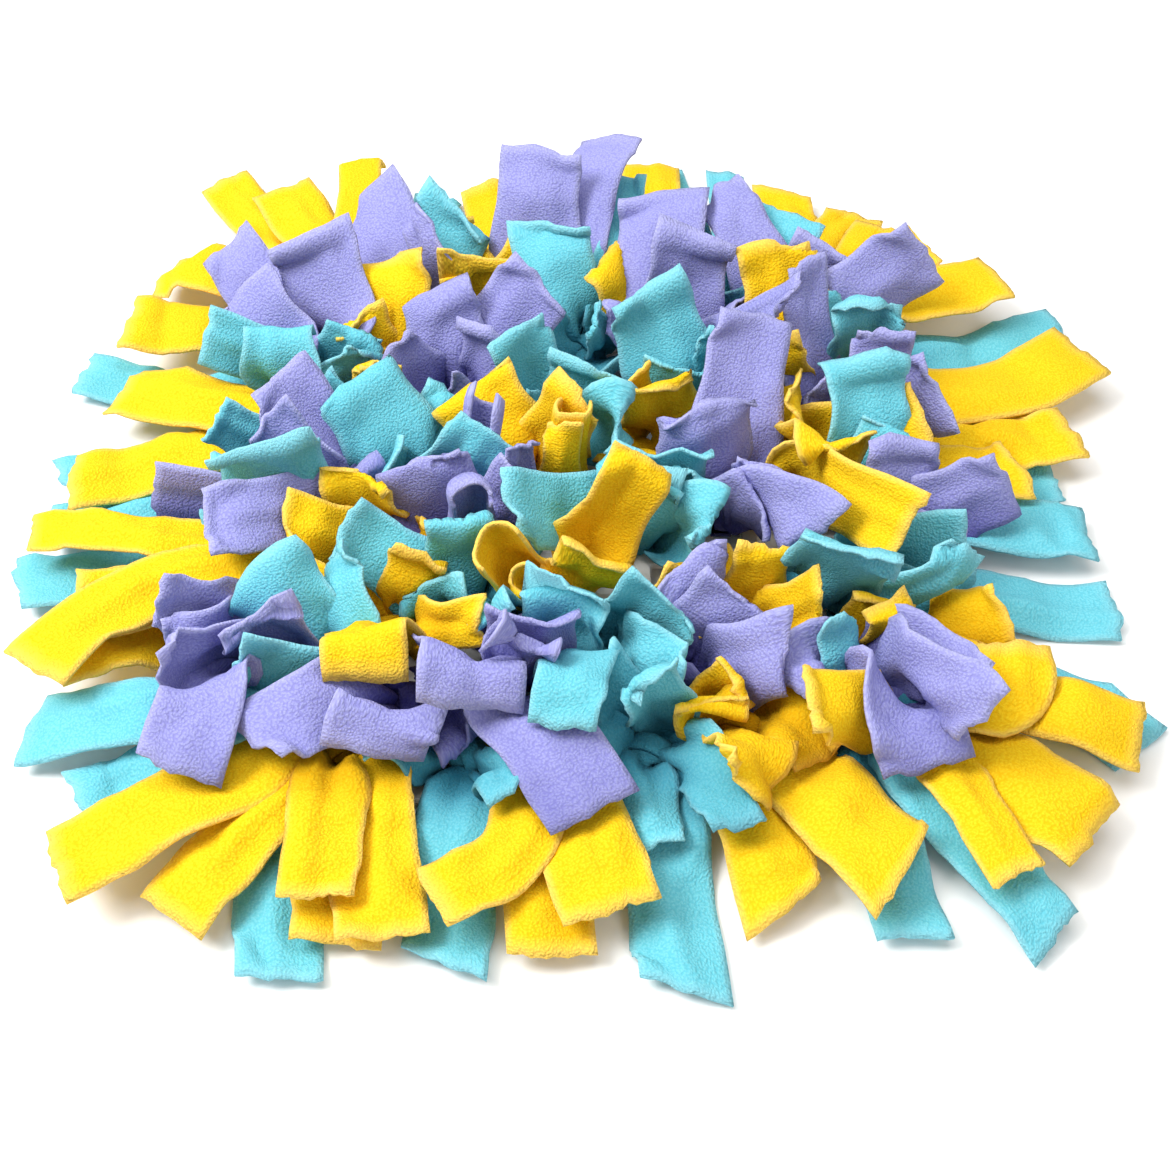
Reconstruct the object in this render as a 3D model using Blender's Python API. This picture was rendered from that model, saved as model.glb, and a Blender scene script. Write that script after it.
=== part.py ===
"""Snuffle mat: a grid mat with fleece strips knotted over its bars, standing up or lying out round it."""
import math
import random
from collections import namedtuple

import bmesh
import bpy
from mathutils import Vector
from mathutils.bvhtree import BVHTree

MM = 0.001

# the grid mat, in metres
GRID_CELLS = 12
GRID_PITCH = 0.0255
HOLE_SIDE = 0.018
MAT_SIDE = 0.320
MAT_UNDERSIDE = 0.0032
MAT_TOP = 0.0070
CORNER_CUT = 0.006
FOOT_EVERY = 3

# the fleece
FLEECE = 0.0022
PINCH_WIDTH = 0.0060
PINCH_THICK = 0.0030
CLEAR = 0.0004
FIRST_TWIST = math.radians(35)
MOST_TWIST = math.radians(55)
UNEVEN_TURN = 18.0
FLEECE_COLORS = {
    'yellow': (0.95, 0.68, 0.01),
    'turquoise': (0.11, 0.50, 0.60),
    'lavender': (0.32, 0.29, 0.66),
}
RUBBER_COLOR = (0.82, 0.81, 0.78)

# ends on the floor reach no further to the sides than this, plus the slope for each metre towards the back
SPREAD = 0.2765
SPREAD_SLOPE = 0.236

# short ends between the charted ones, in mm
SHORT_ENDS = 84
SHORT_APART = 48.0
SHORT_REACH = (26, 46)
SHORT_RISE = (26, 50)

# a knot: a head over the bar, and a loop round the bar through two neighbouring holes
HEAD_RADIUS = 0.0080
HEAD_MIDDLE = 0.0125
HEAD_TOP = 0.0185
HEAD_FOOT = 0.0078
LEAST_APART = 56.0
ROOM_ABOVE = 0.010
LOOP_WIDE = 0.0100
LOOP_OUTSIDE = 0.0066
LOOP_INSIDE = 0.0043
LOOP_UNDER = 0.0027
LOOP_OVER = 0.0074
LOOP_BOTTOM = 0.0005

# most broad sides are turned this way: forward and up
FACING = Vector((0.0, -0.66, 0.75))
LIE_CELL = 0.003

# each tuft: its knot in half grid steps from the middle, its ends on the floor and its raised ends.
# an end: where its tip is, how wide it is (mm), then how it lies or turns (degrees, mm of arch, curl 0 to 3)
Floor = namedtuple('Floor', 'tip_x tip_y width bend layer')
Raised = namedtuple('Raised', 'tip_x tip_y tip_z width turn arch curl short', defaults=(False,))
Tuft = namedtuple('Tuft', 'across along floor raised')

TUFTS = {
    'yellow_01': Tuft(-8, -11, (
        Floor(-99, -229, 38, 0, 1),
        Floor(-79, -231, 38, 0, 1),
        Floor(-104, -217, 32, 0, 2),
        Floor(-161, -217, 34, 0, 1),
        Floor(-209, -203, 38, 0, 1),
    ), (
    )),
    'yellow_02': Tuft(-2, -11, (
        Floor(-13, -233, 36, 0, 1),
        Floor(11, -222, 42, 0, 1),
        Floor(-54, -227, 30, 38, 2),
    ), (
        Raised(-41, -142, 34, 32, 0, 22, 0),
        Raised(-59, -161, 28, 22, 0, 14, 0),
    )),
    'yellow_03': Tuft(5, -10, (
        Floor(79, -220, 36, 0, 1),
        Floor(128, -213, 44, 0, 1),
    ), (
        Raised(94, -149, 25, 34, 0, 20, 1),
        Raised(81, -164, 23, 34, 0, 14, 1),
        Raised(52, -152, 27, 26, 0, 18, 2),
    )),
    'yellow_04': Tuft(11, -10, (
        Floor(202, -186, 44, 0, 1),
        Floor(168, -209, 24, 0, 2),
    ), (
    )),
    'yellow_05': Tuft(-7, -6, (
    ), (
        Raised(-67, -53, 52, 24, 0, 8, 2),
        Raised(-38, -94, 44, 22, 20, 12, 0),
        Raised(-91, -126, 42, 36, 0, 34, 0),
    )),
    'yellow_06': Tuft(5, -6, (
    ), (
        Raised(76, -59, 52, 26, 0, 8, 0),
        Raised(23, -74, 40, 36, 0, 8, 0),
        Raised(50, -129, 42, 32, 0, 20, 1),
        Raised(66, -147, 29, 30, 0, 26, 2),
    )),
    'yellow_07': Tuft(11, -6, (
        Floor(232, -135, 36, -12, 1),
        Floor(202, -103, 36, -70, 2),
    ), (
        Raised(133, -77, 42, 28, 0, 12, 0),
        Raised(123, -102, 40, 20, 0, 8, 0),
    )),
    'yellow_08': Tuft(-11, -4, (
        Floor(-233, -142, 36, 0, 1),
        Floor(-232, -99, 36, 0, 1),
        Floor(-245, -91, 38, 20, 1),
        Floor(-256, -23, 24, 0, 1),
    ), (
    )),
    'yellow_09': Tuft(-1, -4, (
    ), (
        Raised(-10, -57, 62, 22, 0, 14, 3),
        Raised(-42, -68, 66, 24, 0, 6, 3),
        Raised(6, -75, 52, 34, 0, 14, 0),
        Raised(16, -21, 74, 32, 0, 6, 1),
    )),
    'yellow_10': Tuft(-7, -2, (
    ), (
        Raised(-125, -45, 50, 30, 0, 10, 1),
        Raised(-106, -20, 58, 34, 0, 10, 1),
    )),
    'yellow_11': Tuft(-2, 1, (
    ), (
        Raised(1, 33, 56, 30, 0, 30, 1),
        Raised(1, 15, 66, 20, 0, 6, 3),
        Raised(-14, 11, 62, 18, 40, 6, 0),
        Raised(-59, 44, 58, 44, 0, 14, 1),
    )),
    'yellow_12': Tuft(7, 2, (
    ), (
        Raised(82, 34, 64, 40, 0, 8, 0),
        Raised(117, -3, 62, 38, 0, 10, 0),
        Raised(116, -37, 58, 34, 0, 12, 0),
    )),
    'yellow_13': Tuft(11, 2, (
        Floor(227, 66, 26, 0, 1),
        Floor(240, 49, 34, 0, 1),
        Floor(214, 19, 36, 0, 1),
    ), (
        Raised(163, 26, 48, 36, 0, 8, 0),
    )),
    'yellow_14': Tuft(2, 3, (
    ), (
        Raised(31, 39, 68, 38, 0, 8, 1),
        Raised(21, 65, 58, 26, 0, 8, 1),
    )),
    'yellow_15': Tuft(-9, 4, (
        Floor(-249, 13, 36, 0, 1),
        Floor(-232, 81, 38, 0, 1),
    ), (
        Raised(-102, 63, 52, 24, 0, 8, 0),
    )),
    'yellow_16': Tuft(-8, 7, (
    ), (
        Raised(-120, 106, 45, 34, 0, 8, 0),
        Raised(-99, 134, 52, 44, 0, 12, 0),
    )),
    'yellow_17': Tuft(8, 7, (
        Floor(239, 112, 42, 0, 1),
    ), (
        Raised(93, 129, 62, 42, 0, 10, 0),
        Raised(98, 103, 45, 24, 0, 8, 0),
        Raised(90, 71, 52, 32, 0, 8, 0),
    )),
    'yellow_18': Tuft(-10, 11, (
        Floor(-246, 120, 40, 0, 1),
        Floor(-234, 180, 40, 0, 1),
        Floor(-216, 276, 30, 0, 1),
        Floor(-171, 228, 36, 0, 1),
        Floor(-131, 281, 24, 0, 1),
    ), (
    )),
    'yellow_19': Tuft(-4, 11, (
        Floor(-65, 273, 30, 0, 1),
    ), (
        Raised(-90, 178, 52, 34, 0, 8, 1),
        Raised(-54, 128, 55, 44, 0, 10, 0),
        Raised(-22, 164, 48, 32, 0, 8, 0),
    )),
    'yellow_20': Tuft(2, 11, (
        Floor(36, 287, 36, 0, 1),
    ), (
        Raised(16, 199, 40, 30, 0, 8, 0),
        Raised(7, 149, 46, 18, 0, 8, 0),
        Raised(26, 150, 46, 20, 0, 8, 2),
        Raised(27, 125, 46, 38, 0, 8, 0),
    )),
    'yellow_21': Tuft(10, 11, (
        Floor(113, 271, 34, 0, 1),
        Floor(151, 236, 36, 0, 1),
        Floor(166, 214, 34, 0, 1),
        Floor(190, 192, 36, 0, 1),
        Floor(224, 156, 40, 0, 1),
    ), (
    )),
    'turquoise_01': Tuft(-4, -11, (
        Floor(-55, -243, 36, 0, 0),
    ), (
        Raised(-17, -177, 24, 24, 0, 16, 0),
        Raised(-119, -154, 29, 32, 0, 22, 1),
    )),
    'turquoise_02': Tuft(2, -11, (
        Floor(37, -255, 37, 0, 0),
        Floor(29, -193, 24, 0, 0),
    ), (
        Raised(-51, -162, 29, 34, 0, 20, 1),
        Raised(65, -181, 25, 24, 0, 18, 0),
    )),
    'turquoise_03': Tuft(-11, -10, (
        Floor(-119, -244, 36, 0, 0),
        Floor(-142, -185, 24, 0, 0),
        Floor(-214, -162, 32, 0, 0),
        Floor(-248, -127, 34, 0, 0),
    ), (
        Raised(-177, -111, 32, 24, 0, 16, 2),
    )),
    'turquoise_04': Tuft(9, -10, (
        Floor(128, -231, 30, 0, 0),
        Floor(183, -224, 30, 0, 0),
        Floor(232, -166, 34, 0, 0),
    ), (
        Raised(98, -151, 24, 26, 0, 16, 0),
    )),
    'turquoise_05': Tuft(-9, -8, (
    ), (
        Raised(-136, -69, 50, 42, 0, 14, 2),
        Raised(-171, -99, 46, 22, 55, 20, 0),
        Raised(-77, -84, 58, 22, 0, 10, 0),
        Raised(-151, -132, 34, 26, 0, 18, 0),
        Raised(-118, -143, 31, 30, 0, 24, 0),
    )),
    'turquoise_06': Tuft(0, -7, (
    ), (
        Raised(-10, -96, 60, 34, 0, 10, 2),
        Raised(19, -72, 54, 28, 0, 14, 0),
        Raised(39, -131, 34, 40, 0, 24, 1),
        Raised(-3, -141, 34, 30, 0, 22, 0),
        Raised(38, -92, 60, 36, 0, 10, 2),
    )),
    'turquoise_07': Tuft(-4, -5, (
    ), (
        Raised(-55, -54, 64, 30, 0, 8, 1),
        Raised(-29, -92, 52, 24, 60, 16, 0),
    )),
    'turquoise_08': Tuft(9, -4, (
        Floor(243, -56, 34, 0, 0),
    ), (
        Raised(171, -46, 38, 36, 0, 16, 0),
        Raised(111, -79, 60, 44, 0, 10, 0),
        Raised(147, -89, 38, 24, 0, 12, 0),
        Raised(168, -79, 34, 24, 0, 10, 0),
    )),
    'turquoise_09': Tuft(-11, -2, (
        Floor(-268, -41, 38, 0, 0),
    ), (
        Raised(-141, -7, 64, 46, 0, 12, 2),
        Raised(-188, -38, 30, 38, 0, 20, 0),
    )),
    'turquoise_10': Tuft(2, -1, (
    ), (
        Raised(-37, -44, 60, 36, 0, 16, 0),
        Raised(7, -5, 60, 20, 50, 8, 0),
        Raised(35, -8, 66, 38, 0, 10, 2),
        Raised(53, -14, 58, 22, 0, 8, 0),
        Raised(56, -48, 60, 34, 0, 12, 0),
        Raised(33, -54, 68, 30, 0, 8, 0),
    )),
    'turquoise_11': Tuft(11, 0, (
        Floor(230, 25, 30, 0, 0),
        Floor(240, -15, 38, 0, 0),
    ), (
        Raised(118, 48, 55, 38, 0, 14, 1),
        Raised(136, 9, 50, 28, 0, 10, 0),
        Raised(141, 4, 45, 26, 0, 8, 0),
    )),
    'turquoise_12': Tuft(-6, 1, (
    ), (
        Raised(-114, 43, 62, 44, 0, 16, 1),
        Raised(-62, -23, 58, 34, 0, 10, 0),
    )),
    'turquoise_13': Tuft(-11, 2, (
        Floor(-255, -8, 30, 0, 0),
    ), (
        Raised(-132, 39, 60, 30, 0, 12, 2),
        Raised(-193, 34, 29, 24, 0, 14, 0),
    )),
    'turquoise_14': Tuft(-1, 4, (
    ), (
        Raised(22, 26, 58, 36, 0, 10, 0),
        Raised(0, 65, 50, 36, 0, 8, 0),
        Raised(-34, 75, 60, 36, 0, 10, 1),
    )),
    'turquoise_15': Tuft(4, 5, (
    ), (
        Raised(28, 100, 62, 44, 0, 12, 0),
        Raised(45, 62, 58, 34, 0, 10, 0),
    )),
    'turquoise_16': Tuft(-11, 6, (
        Floor(-260, 27, 28, 0, 0),
        Floor(-264, 104, 32, 0, 0),
    ), (
        Raised(-135, 106, 45, 32, 0, 8, 0),
        Raised(-105, 76, 50, 26, 50, 12, 0),
        Raised(-176, 68, 42, 34, 0, 10, 0),
        Raised(-189, 100, 38, 30, 0, 10, 0),
    )),
    'turquoise_17': Tuft(11, 8, (
        Floor(255, 141, 34, 0, 0),
        Floor(214, 63, 26, 0, 0),
    ), (
        Raised(107, 113, 46, 22, 20, 8, 0),
        Raised(136, 85, 62, 34, 0, 10, 2),
    )),
    'turquoise_18': Tuft(0, 9, (
    ), (
        Raised(-36, 177, 55, 42, 0, 10, 0),
        Raised(-9, 154, 46, 20, 20, 8, 0),
        Raised(11, 186, 46, 28, 0, 8, 0),
    )),
    'turquoise_19': Tuft(-8, 11, (
        Floor(-169, 255, 28, 0, 0),
        Floor(-88, 260, 28, 0, 0),
    ), (
        Raised(-117, 149, 50, 30, 0, 10, 1),
        Raised(-108, 174, 40, 24, 0, 10, 0),
        Raised(-67, 186, 55, 44, 0, 10, 0),
    )),
    'turquoise_20': Tuft(6, 11, (
        Floor(45, 291, 22, 0, 0),
        Floor(81, 282, 22, 0, 0),
    ), (
        Raised(107, 175, 58, 40, 0, 10, 0),
        Raised(44, 170, 46, 38, 0, 8, 0),
    )),
    'lavender_01': Tuft(-6, -9, (
    ), (
        Raised(-86, -161, 34, 46, 0, 26, 0),
        Raised(-68, -167, 27, 36, 0, 20, 0),
        Raised(-115, -179, 26, 36, 0, 24, 0),
    )),
    'lavender_02': Tuft(-11, -8, (
    ), (
        Raised(-163, -162, 24, 36, 0, 24, 0),
        Raised(-182, -129, 30, 34, 0, 20, 2),
        Raised(-129, -133, 46, 28, 0, 30, 0),
        Raised(-112, -96, 54, 36, 0, 10, 1),
        Raised(-117, -136, 42, 22, 0, 26, 0),
        Raised(-132, -163, 24, 22, 0, 16, 2),
    )),
    'lavender_03': Tuft(-3, -8, (
    ), (
        Raised(-22, -107, 66, 34, 0, 8, 2),
        Raised(-13, -146, 40, 26, 0, 26, 2),
        Raised(-54, -143, 36, 44, 0, 34, 0),
        Raised(2, -173, 26, 40, 0, 24, 0),
    )),
    'lavender_04': Tuft(3, -8, (
    ), (
        Raised(68, -92, 55, 46, 0, 16, 0),
        Raised(91, -111, 48, 36, 0, 12, 0),
        Raised(42, -141, 29, 28, 0, 24, 1),
        Raised(15, -143, 28, 26, 0, 16, 0),
    )),
    'lavender_05': Tuft(9, -8, (
    ), (
        Raised(98, -134, 30, 34, 0, 26, 0),
        Raised(140, -130, 48, 34, 0, 18, 1),
        Raised(164, -126, 30, 38, 0, 20, 0),
        Raised(139, -168, 30, 42, 0, 24, 0),
        Raised(124, -180, 24, 30, 0, 20, 1),
    )),
    'lavender_06': Tuft(-11, -6, (
    ), (
        Raised(-80, -55, 34, 34, 0, 8, 0),
        Raised(-190, -75, 40, 26, 0, 12, 1),
        Raised(-183, -104, 34, 32, 0, 18, 0),
        Raised(-147, -69, 54, 34, 0, 10, 1),
    )),
    'lavender_07': Tuft(11, -2, (
    ), (
        Raised(190, -6, 40, 38, 0, 22, 0),
        Raised(145, -2, 50, 36, 0, 10, 0),
        Raised(176, -45, 27, 32, 0, 14, 0),
    )),
    'lavender_08': Tuft(-4, -1, (
    ), (
        Raised(-53, 5, 66, 24, 0, 6, 3),
        Raised(-26, -11, 62, 20, 50, 8, 1),
        Raised(-78, -11, 62, 44, 0, 10, 1),
        Raised(-51, -43, 68, 22, 0, 6, 3),
        Raised(-20, -43, 64, 34, 0, 14, 1),
    )),
    'lavender_09': Tuft(-9, 0, (
    ), (
        Raised(-148, 42, 58, 38, 0, 10, 0),
        Raised(-165, 34, 50, 28, 30, 8, 0),
        Raised(-189, -18, 38, 40, 0, 14, 0),
    )),
    'lavender_10': Tuft(5, 0, (
    ), (
        Raised(76, 74, 68, 40, 0, 10, 0),
        Raised(106, -44, 45, 34, 0, 34, 0),
        Raised(75, -30, 46, 36, 0, 8, 0),
        Raised(55, 17, 62, 42, 0, 12, 2),
        Raised(79, -11, 56, 24, 0, 8, 2),
    )),
    'lavender_11': Tuft(10, 5, (
    ), (
        Raised(123, 105, 62, 26, 0, 6, 0),
        Raised(128, 104, 60, 16, 40, 6, 0),
        Raised(154, 118, 50, 42, 0, 14, 0),
        Raised(143, 75, 60, 30, 0, 8, 0),
        Raised(166, 35, 58, 44, 0, 12, 1),
    )),
    'lavender_12': Tuft(-5, 6, (
    ), (
        Raised(-19, 116, 66, 42, 0, 8, 0),
        Raised(-75, 107, 52, 38, 0, 12, 1),
        Raised(-99, 76, 50, 30, 30, 12, 0),
        Raised(-48, 85, 52, 28, -30, 10, 2),
    )),
    'lavender_13': Tuft(-11, 8, (
    ), (
        Raised(-188, 159, 45, 34, 0, 12, 0),
        Raised(-158, 172, 40, 34, 0, 12, 0),
        Raised(-177, 117, 55, 40, 0, 10, 0),
        Raised(-162, 131, 58, 24, 0, 10, 0),
        Raised(-134, 149, 52, 42, 0, 10, 1),
        Raised(-194, 57, 34, 26, 0, 10, 0),
    )),
    'lavender_14': Tuft(3, 8, (
    ), (
        Raised(43, 187, 55, 46, 0, 16, 0),
        Raised(49, 138, 64, 40, 0, 12, 1),
        Raised(9, 104, 50, 20, 30, 6, 0),
    )),
    'lavender_15': Tuft(-6, 9, (
    ), (
        Raised(-120, 192, 48, 42, 0, 10, 0),
        Raised(-109, 185, 40, 26, 0, 10, 0),
    )),
    'lavender_16': Tuft(8, 9, (
    ), (
        Raised(82, 194, 52, 30, 0, 10, 0),
        Raised(126, 155, 50, 34, 0, 10, 0),
        Raised(74, 115, 48, 24, 0, 8, 0),
    )),
    'lavender_17': Tuft(-2, 11, (
    ), (
        Raised(-23, 198, 78, 44, -8, 12, 0),
        Raised(-3, 192, 76, 40, 10, 14, 1),
    )),
}

def knot_place(tuft):
    """The middle of the bar that the knot sits on, and whether its loop runs along x."""
    step = GRID_PITCH / 2
    return Vector((tuft.across * step, tuft.along * step, 0.0)), tuft.across % 2 == 0


def heading(degrees):
    angle = math.radians(degrees)
    return Vector((math.cos(angle), math.sin(angle), 0.0))


def spread(headings, least):
    """Headings in degrees moved as little as will set them at least this far apart round the knot."""
    order = sorted(range(len(headings)), key=lambda i: headings[i])
    turned = [headings[i] for i in order]
    count = len(turned)
    for step in range(300):
        moved = False
        for i in range(count if count > 1 else 0):
            j = (i + 1) % count
            gap = turned[j] - turned[i] + (360.0 if j == 0 else 0.0)
            if gap < least - 0.01:
                push = (least - gap) * 0.5
                turned[i] -= push
                turned[j] += push
                moved = True
        if not moved:
            break
    result = [0.0] * count
    for place, i in enumerate(order):
        result[i] = turned[place]
    return result


class Strip:
    """A strip as a row of flat sections. The first is a face of its knot's head."""

    def __init__(self, middles, sides, halves, thicks, skew):
        self.middles = middles
        self.halves = halves
        self.thicks = thicks
        self.skew = skew
        self.sides = [sides[0]]
        self.ups = [Vector((0.0, 0.0, 1.0))]
        last = len(middles) - 1
        for i in range(1, last + 1):
            ahead = (middles[min(i + 1, last)] - middles[i - 1]).normalized()
            side = (sides[i] - ahead * sides[i].dot(ahead)).normalized()
            before = (self.sides[-1] - ahead * self.sides[-1].dot(ahead)).normalized()
            if side.dot(before) < 0:
                side = -side
            twist = math.atan2(before.cross(side).dot(ahead), before.dot(side))
            most = MOST_TWIST if i > 1 else FIRST_TWIST
            twist = max(-most, min(most, twist))
            side = before * math.cos(twist) + ahead.cross(before) * math.sin(twist)
            self.sides.append(side)
            self.ups.append(side.cross(ahead).normalized())

    def corners(self, grow=0.0):
        points = []
        last = len(self.middles) - 1
        slant = (self.middles[last] - self.middles[last - 1]) * self.skew
        for i, middle in enumerate(self.middles):
            across = self.sides[i] * (self.halves[i] + grow)
            through = self.ups[i] * (self.thicks[i] / 2 + grow)
            tilt = slant if i == last else slant * 0.0
            points.append(middle - across - through - tilt)
            points.append(middle + across - through + tilt)
            points.append(middle + across + through + tilt)
            points.append(middle - across + through - tilt)
        return points

    def faces(self, first=0, rooted=False):
        count = len(self.middles)
        faces = [] if rooted else [(0, 2, 1), (0, 3, 2)]
        for i in range(count - 1):
            for k in range(4):
                a = 4 * i + k
                b = 4 * i + (k + 1) % 4
                # the two broad faces are split the same way, so that a twist can't bring them together
                if k == 2:
                    faces += [(a, b, a + 4), (b, b + 4, a + 4)]
                else:
                    faces += [(a, b, b + 4), (a, b + 4, a + 4)]
        end = 4 * (count - 1)
        faces += [(end, end + 1, end + 2), (end, end + 2, end + 3)]
        return [tuple(corner + first for corner in face) for face in faces]


def tree_and_box(points, faces):
    low = [min(p[k] for p in points) for k in range(3)]
    high = [max(p[k] for p in points) for k in range(3)]
    return BVHTree.FromPolygons(points, faces), (low, high)


def crosses_itself(points, faces):
    tree = BVHTree.FromPolygons(points, faces)
    return any(not set(faces[a]) & set(faces[b]) for a, b in tree.overlap(tree))


def apart(box_a, box_b):
    return any(box_a[1][k] < box_b[0][k] or box_b[1][k] < box_a[0][k] for k in range(3))


def bezier(a, b, c, d, t):
    u = 1 - t
    return a * u ** 3 + b * 3 * u * u * t + c * 3 * u * t * t + d * t ** 3


def root_of(knot, way):
    return knot + way * HEAD_RADIUS + Vector((0.0, 0.0, HEAD_MIDDLE))


def right_of(way):
    return Vector((way.y, -way.x, 0.0)).normalized()


def raised_strip(knot, way, end, tip, turn, arch, width):
    """A raised end: out of its knot, up as it opens out, then over to its tip."""
    root = root_of(knot, way)
    flat = Vector((tip.x - root.x, tip.y - root.y, 0.0))
    span = (tip - root).length
    rise = max(tip.z - root.z, 0.0)
    # cloth can't bend in its own plane, so an end that runs across the view, broad side on, goes straighter
    sideways = (flat.x / max(flat.length, 0.001)) ** 2
    bow = 1.0 - 0.7 * sideways
    first = root + way * 0.009 + flat * 0.10
    first.z += (0.26 * span + 0.7 * arch) * bow + 0.12 * rise * sideways
    second = root + flat * 0.68
    second.z += rise * (0.84 - 0.10 * sideways) + 1.25 * arch * bow
    if end.short:
        steps, opens = (0.0, 0.26, 0.62, 1.0), (0.0, 0.40, 0.94, 0.97)
    elif width > 0.027:
        steps, opens = (0.0, 0.17, 0.38, 0.60, 0.80, 1.0), (0.0, 0.16, 0.62, 0.94, 1.0, 0.97)
    else:
        steps, opens = (0.0, 0.20, 0.46, 0.74, 1.0), (0.0, 0.24, 0.80, 1.0, 0.97)
    last = len(steps) - 1
    middles = [bezier(root, first, second, tip, t) for t in steps]
    sides = [right_of(way)]
    for i in range(1, last + 1):
        ahead = (middles[min(i + 1, last)] - middles[i - 1]).normalized()
        side = ahead.cross(FACING)
        if side.length < 0.4:
            side = side + Vector((0.5, 0.0, 0.0))
        side.normalize()
        lean = math.radians(turn + UNEVEN_TURN * math.sin(13.0 * end.tip_x + 5.0 * end.tip_y))
        lean *= min(1.0, 0.3 + steps[i])
        sides.append(side * math.cos(lean) + ahead.cross(side) * math.sin(lean))
    halves = [(PINCH_WIDTH + (width - PINCH_WIDTH) * opened) / 2 for opened in opens]
    thicks = [PINCH_THICK + (FLEECE - PINCH_THICK) * min(1.0, 2 * opened) for opened in opens]
    return Strip(middles, sides, halves, thicks, 0.16 * math.sin(37.0 * end.tip_x + 11.0 * end.tip_y))


class Ground:
    """The height of what lies on the floor so far, in square cells."""

    def __init__(self):
        self.heights = {}
        reach = int((MAT_SIDE / 2 + 0.0015) / LIE_CELL) + 1
        for i in range(-reach, reach + 1):
            for j in range(-reach, reach + 1):
                self.heights[(i, j)] = MAT_TOP

    def cells(self, a, b, side, half):
        found = set()
        along = max(2, int((b - a).length / (LIE_CELL * 0.6)))
        wide = max(2, int(2 * half / (LIE_CELL * 0.6)))
        for i in range(along + 1):
            for j in range(wide + 1):
                p = a + (b - a) * (i / along) + side * half * (2 * j / wide - 1)
                found.add((math.floor(p.x / LIE_CELL), math.floor(p.y / LIE_CELL)))
        return found

    def highest(self, cells):
        return max(self.heights.get(cell, 0.0) for cell in cells)

    def cover(self, cells, top):
        for cell in cells:
            self.heights[cell] = max(self.heights.get(cell, 0.0), top)


def floor_strip(ground, knot, way, end, tip, bend, width):
    """An end that runs out over the mat's edge and lies on the floor, or on what lies there already."""
    root = root_of(knot, way)
    root.z = 0.0
    flat = tip - root
    left = Vector((-flat.y, flat.x, 0.0))
    steps, opens = (0.0, 0.14, 0.30, 0.50, 0.75, 1.0), (0.0, 0.22, 0.62, 0.90, 1.0, 1.0)
    bulge = left * math.tan(math.radians(bend)) * 0.5
    middles = [root + flat * t + bulge * 4 * t * (1 - t) for t in steps]
    middles[1] = middles[1] + (way * flat.length * 0.14 - flat * 0.14) * 0.5
    halves = [(PINCH_WIDTH + (width - PINCH_WIDTH) * opened) / 2 for opened in opens]
    thicks = [PINCH_THICK + (FLEECE - PINCH_THICK) * min(1.0, 2 * opened) for opened in opens]
    sides = [right_of(way)]
    for i in range(1, 6):
        sides.append(right_of(middles[min(i + 1, 5)] - middles[i - 1]))
    spans = []
    for i in range(5):
        half = max(halves[i], halves[i + 1]) + 0.001
        side = (sides[i] + sides[i + 1]).normalized()
        spans.append(ground.cells(middles[i], middles[i + 1], side, half))
    tops = [ground.highest(span) for span in spans]
    beds = [0.0]
    for i in range(1, 6):
        under = max(tops[i - 1], tops[min(i, 4)])
        beds.append(under + CLEAR if under > 0 else 0.0)
        middles[i].z = beds[i] + thicks[i] / 2
    middles[0].z = HEAD_MIDDLE
    # a section that leans with the twist is lifted until its lower edge lies on its bed
    for again in range(3):
        strip = Strip(middles, sides, halves, thicks, 0.10 * math.sin(23.0 * end.tip_x + 7.0 * end.tip_y))
        corners = strip.corners()
        for i in range(1, 6):
            middles[i].z += max(0.0, beds[i] - min(corners[4 * i + k].z for k in range(4)))
    strip = Strip(middles, sides, halves, thicks, strip.skew)
    strip.spans = spans
    return strip


def head_block(tuft, above):
    """A plain block round a knot's head, to keep other knots' strips off it."""
    knot, along_x = knot_place(tuft)
    reach = HEAD_RADIUS + 0.0006
    points = [knot + Vector((math.cos(k * math.pi / 4) * reach, math.sin(k * math.pi / 4) * reach, z))
              for z in (HEAD_FOOT - 0.0006, HEAD_TOP + above) for k in range(8)]
    faces = [tuple(range(8)), tuple(range(8, 16))]
    faces += [(k, (k + 1) % 8, (k + 1) % 8 + 8, k + 8) for k in range(8)]
    return points, faces


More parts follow.
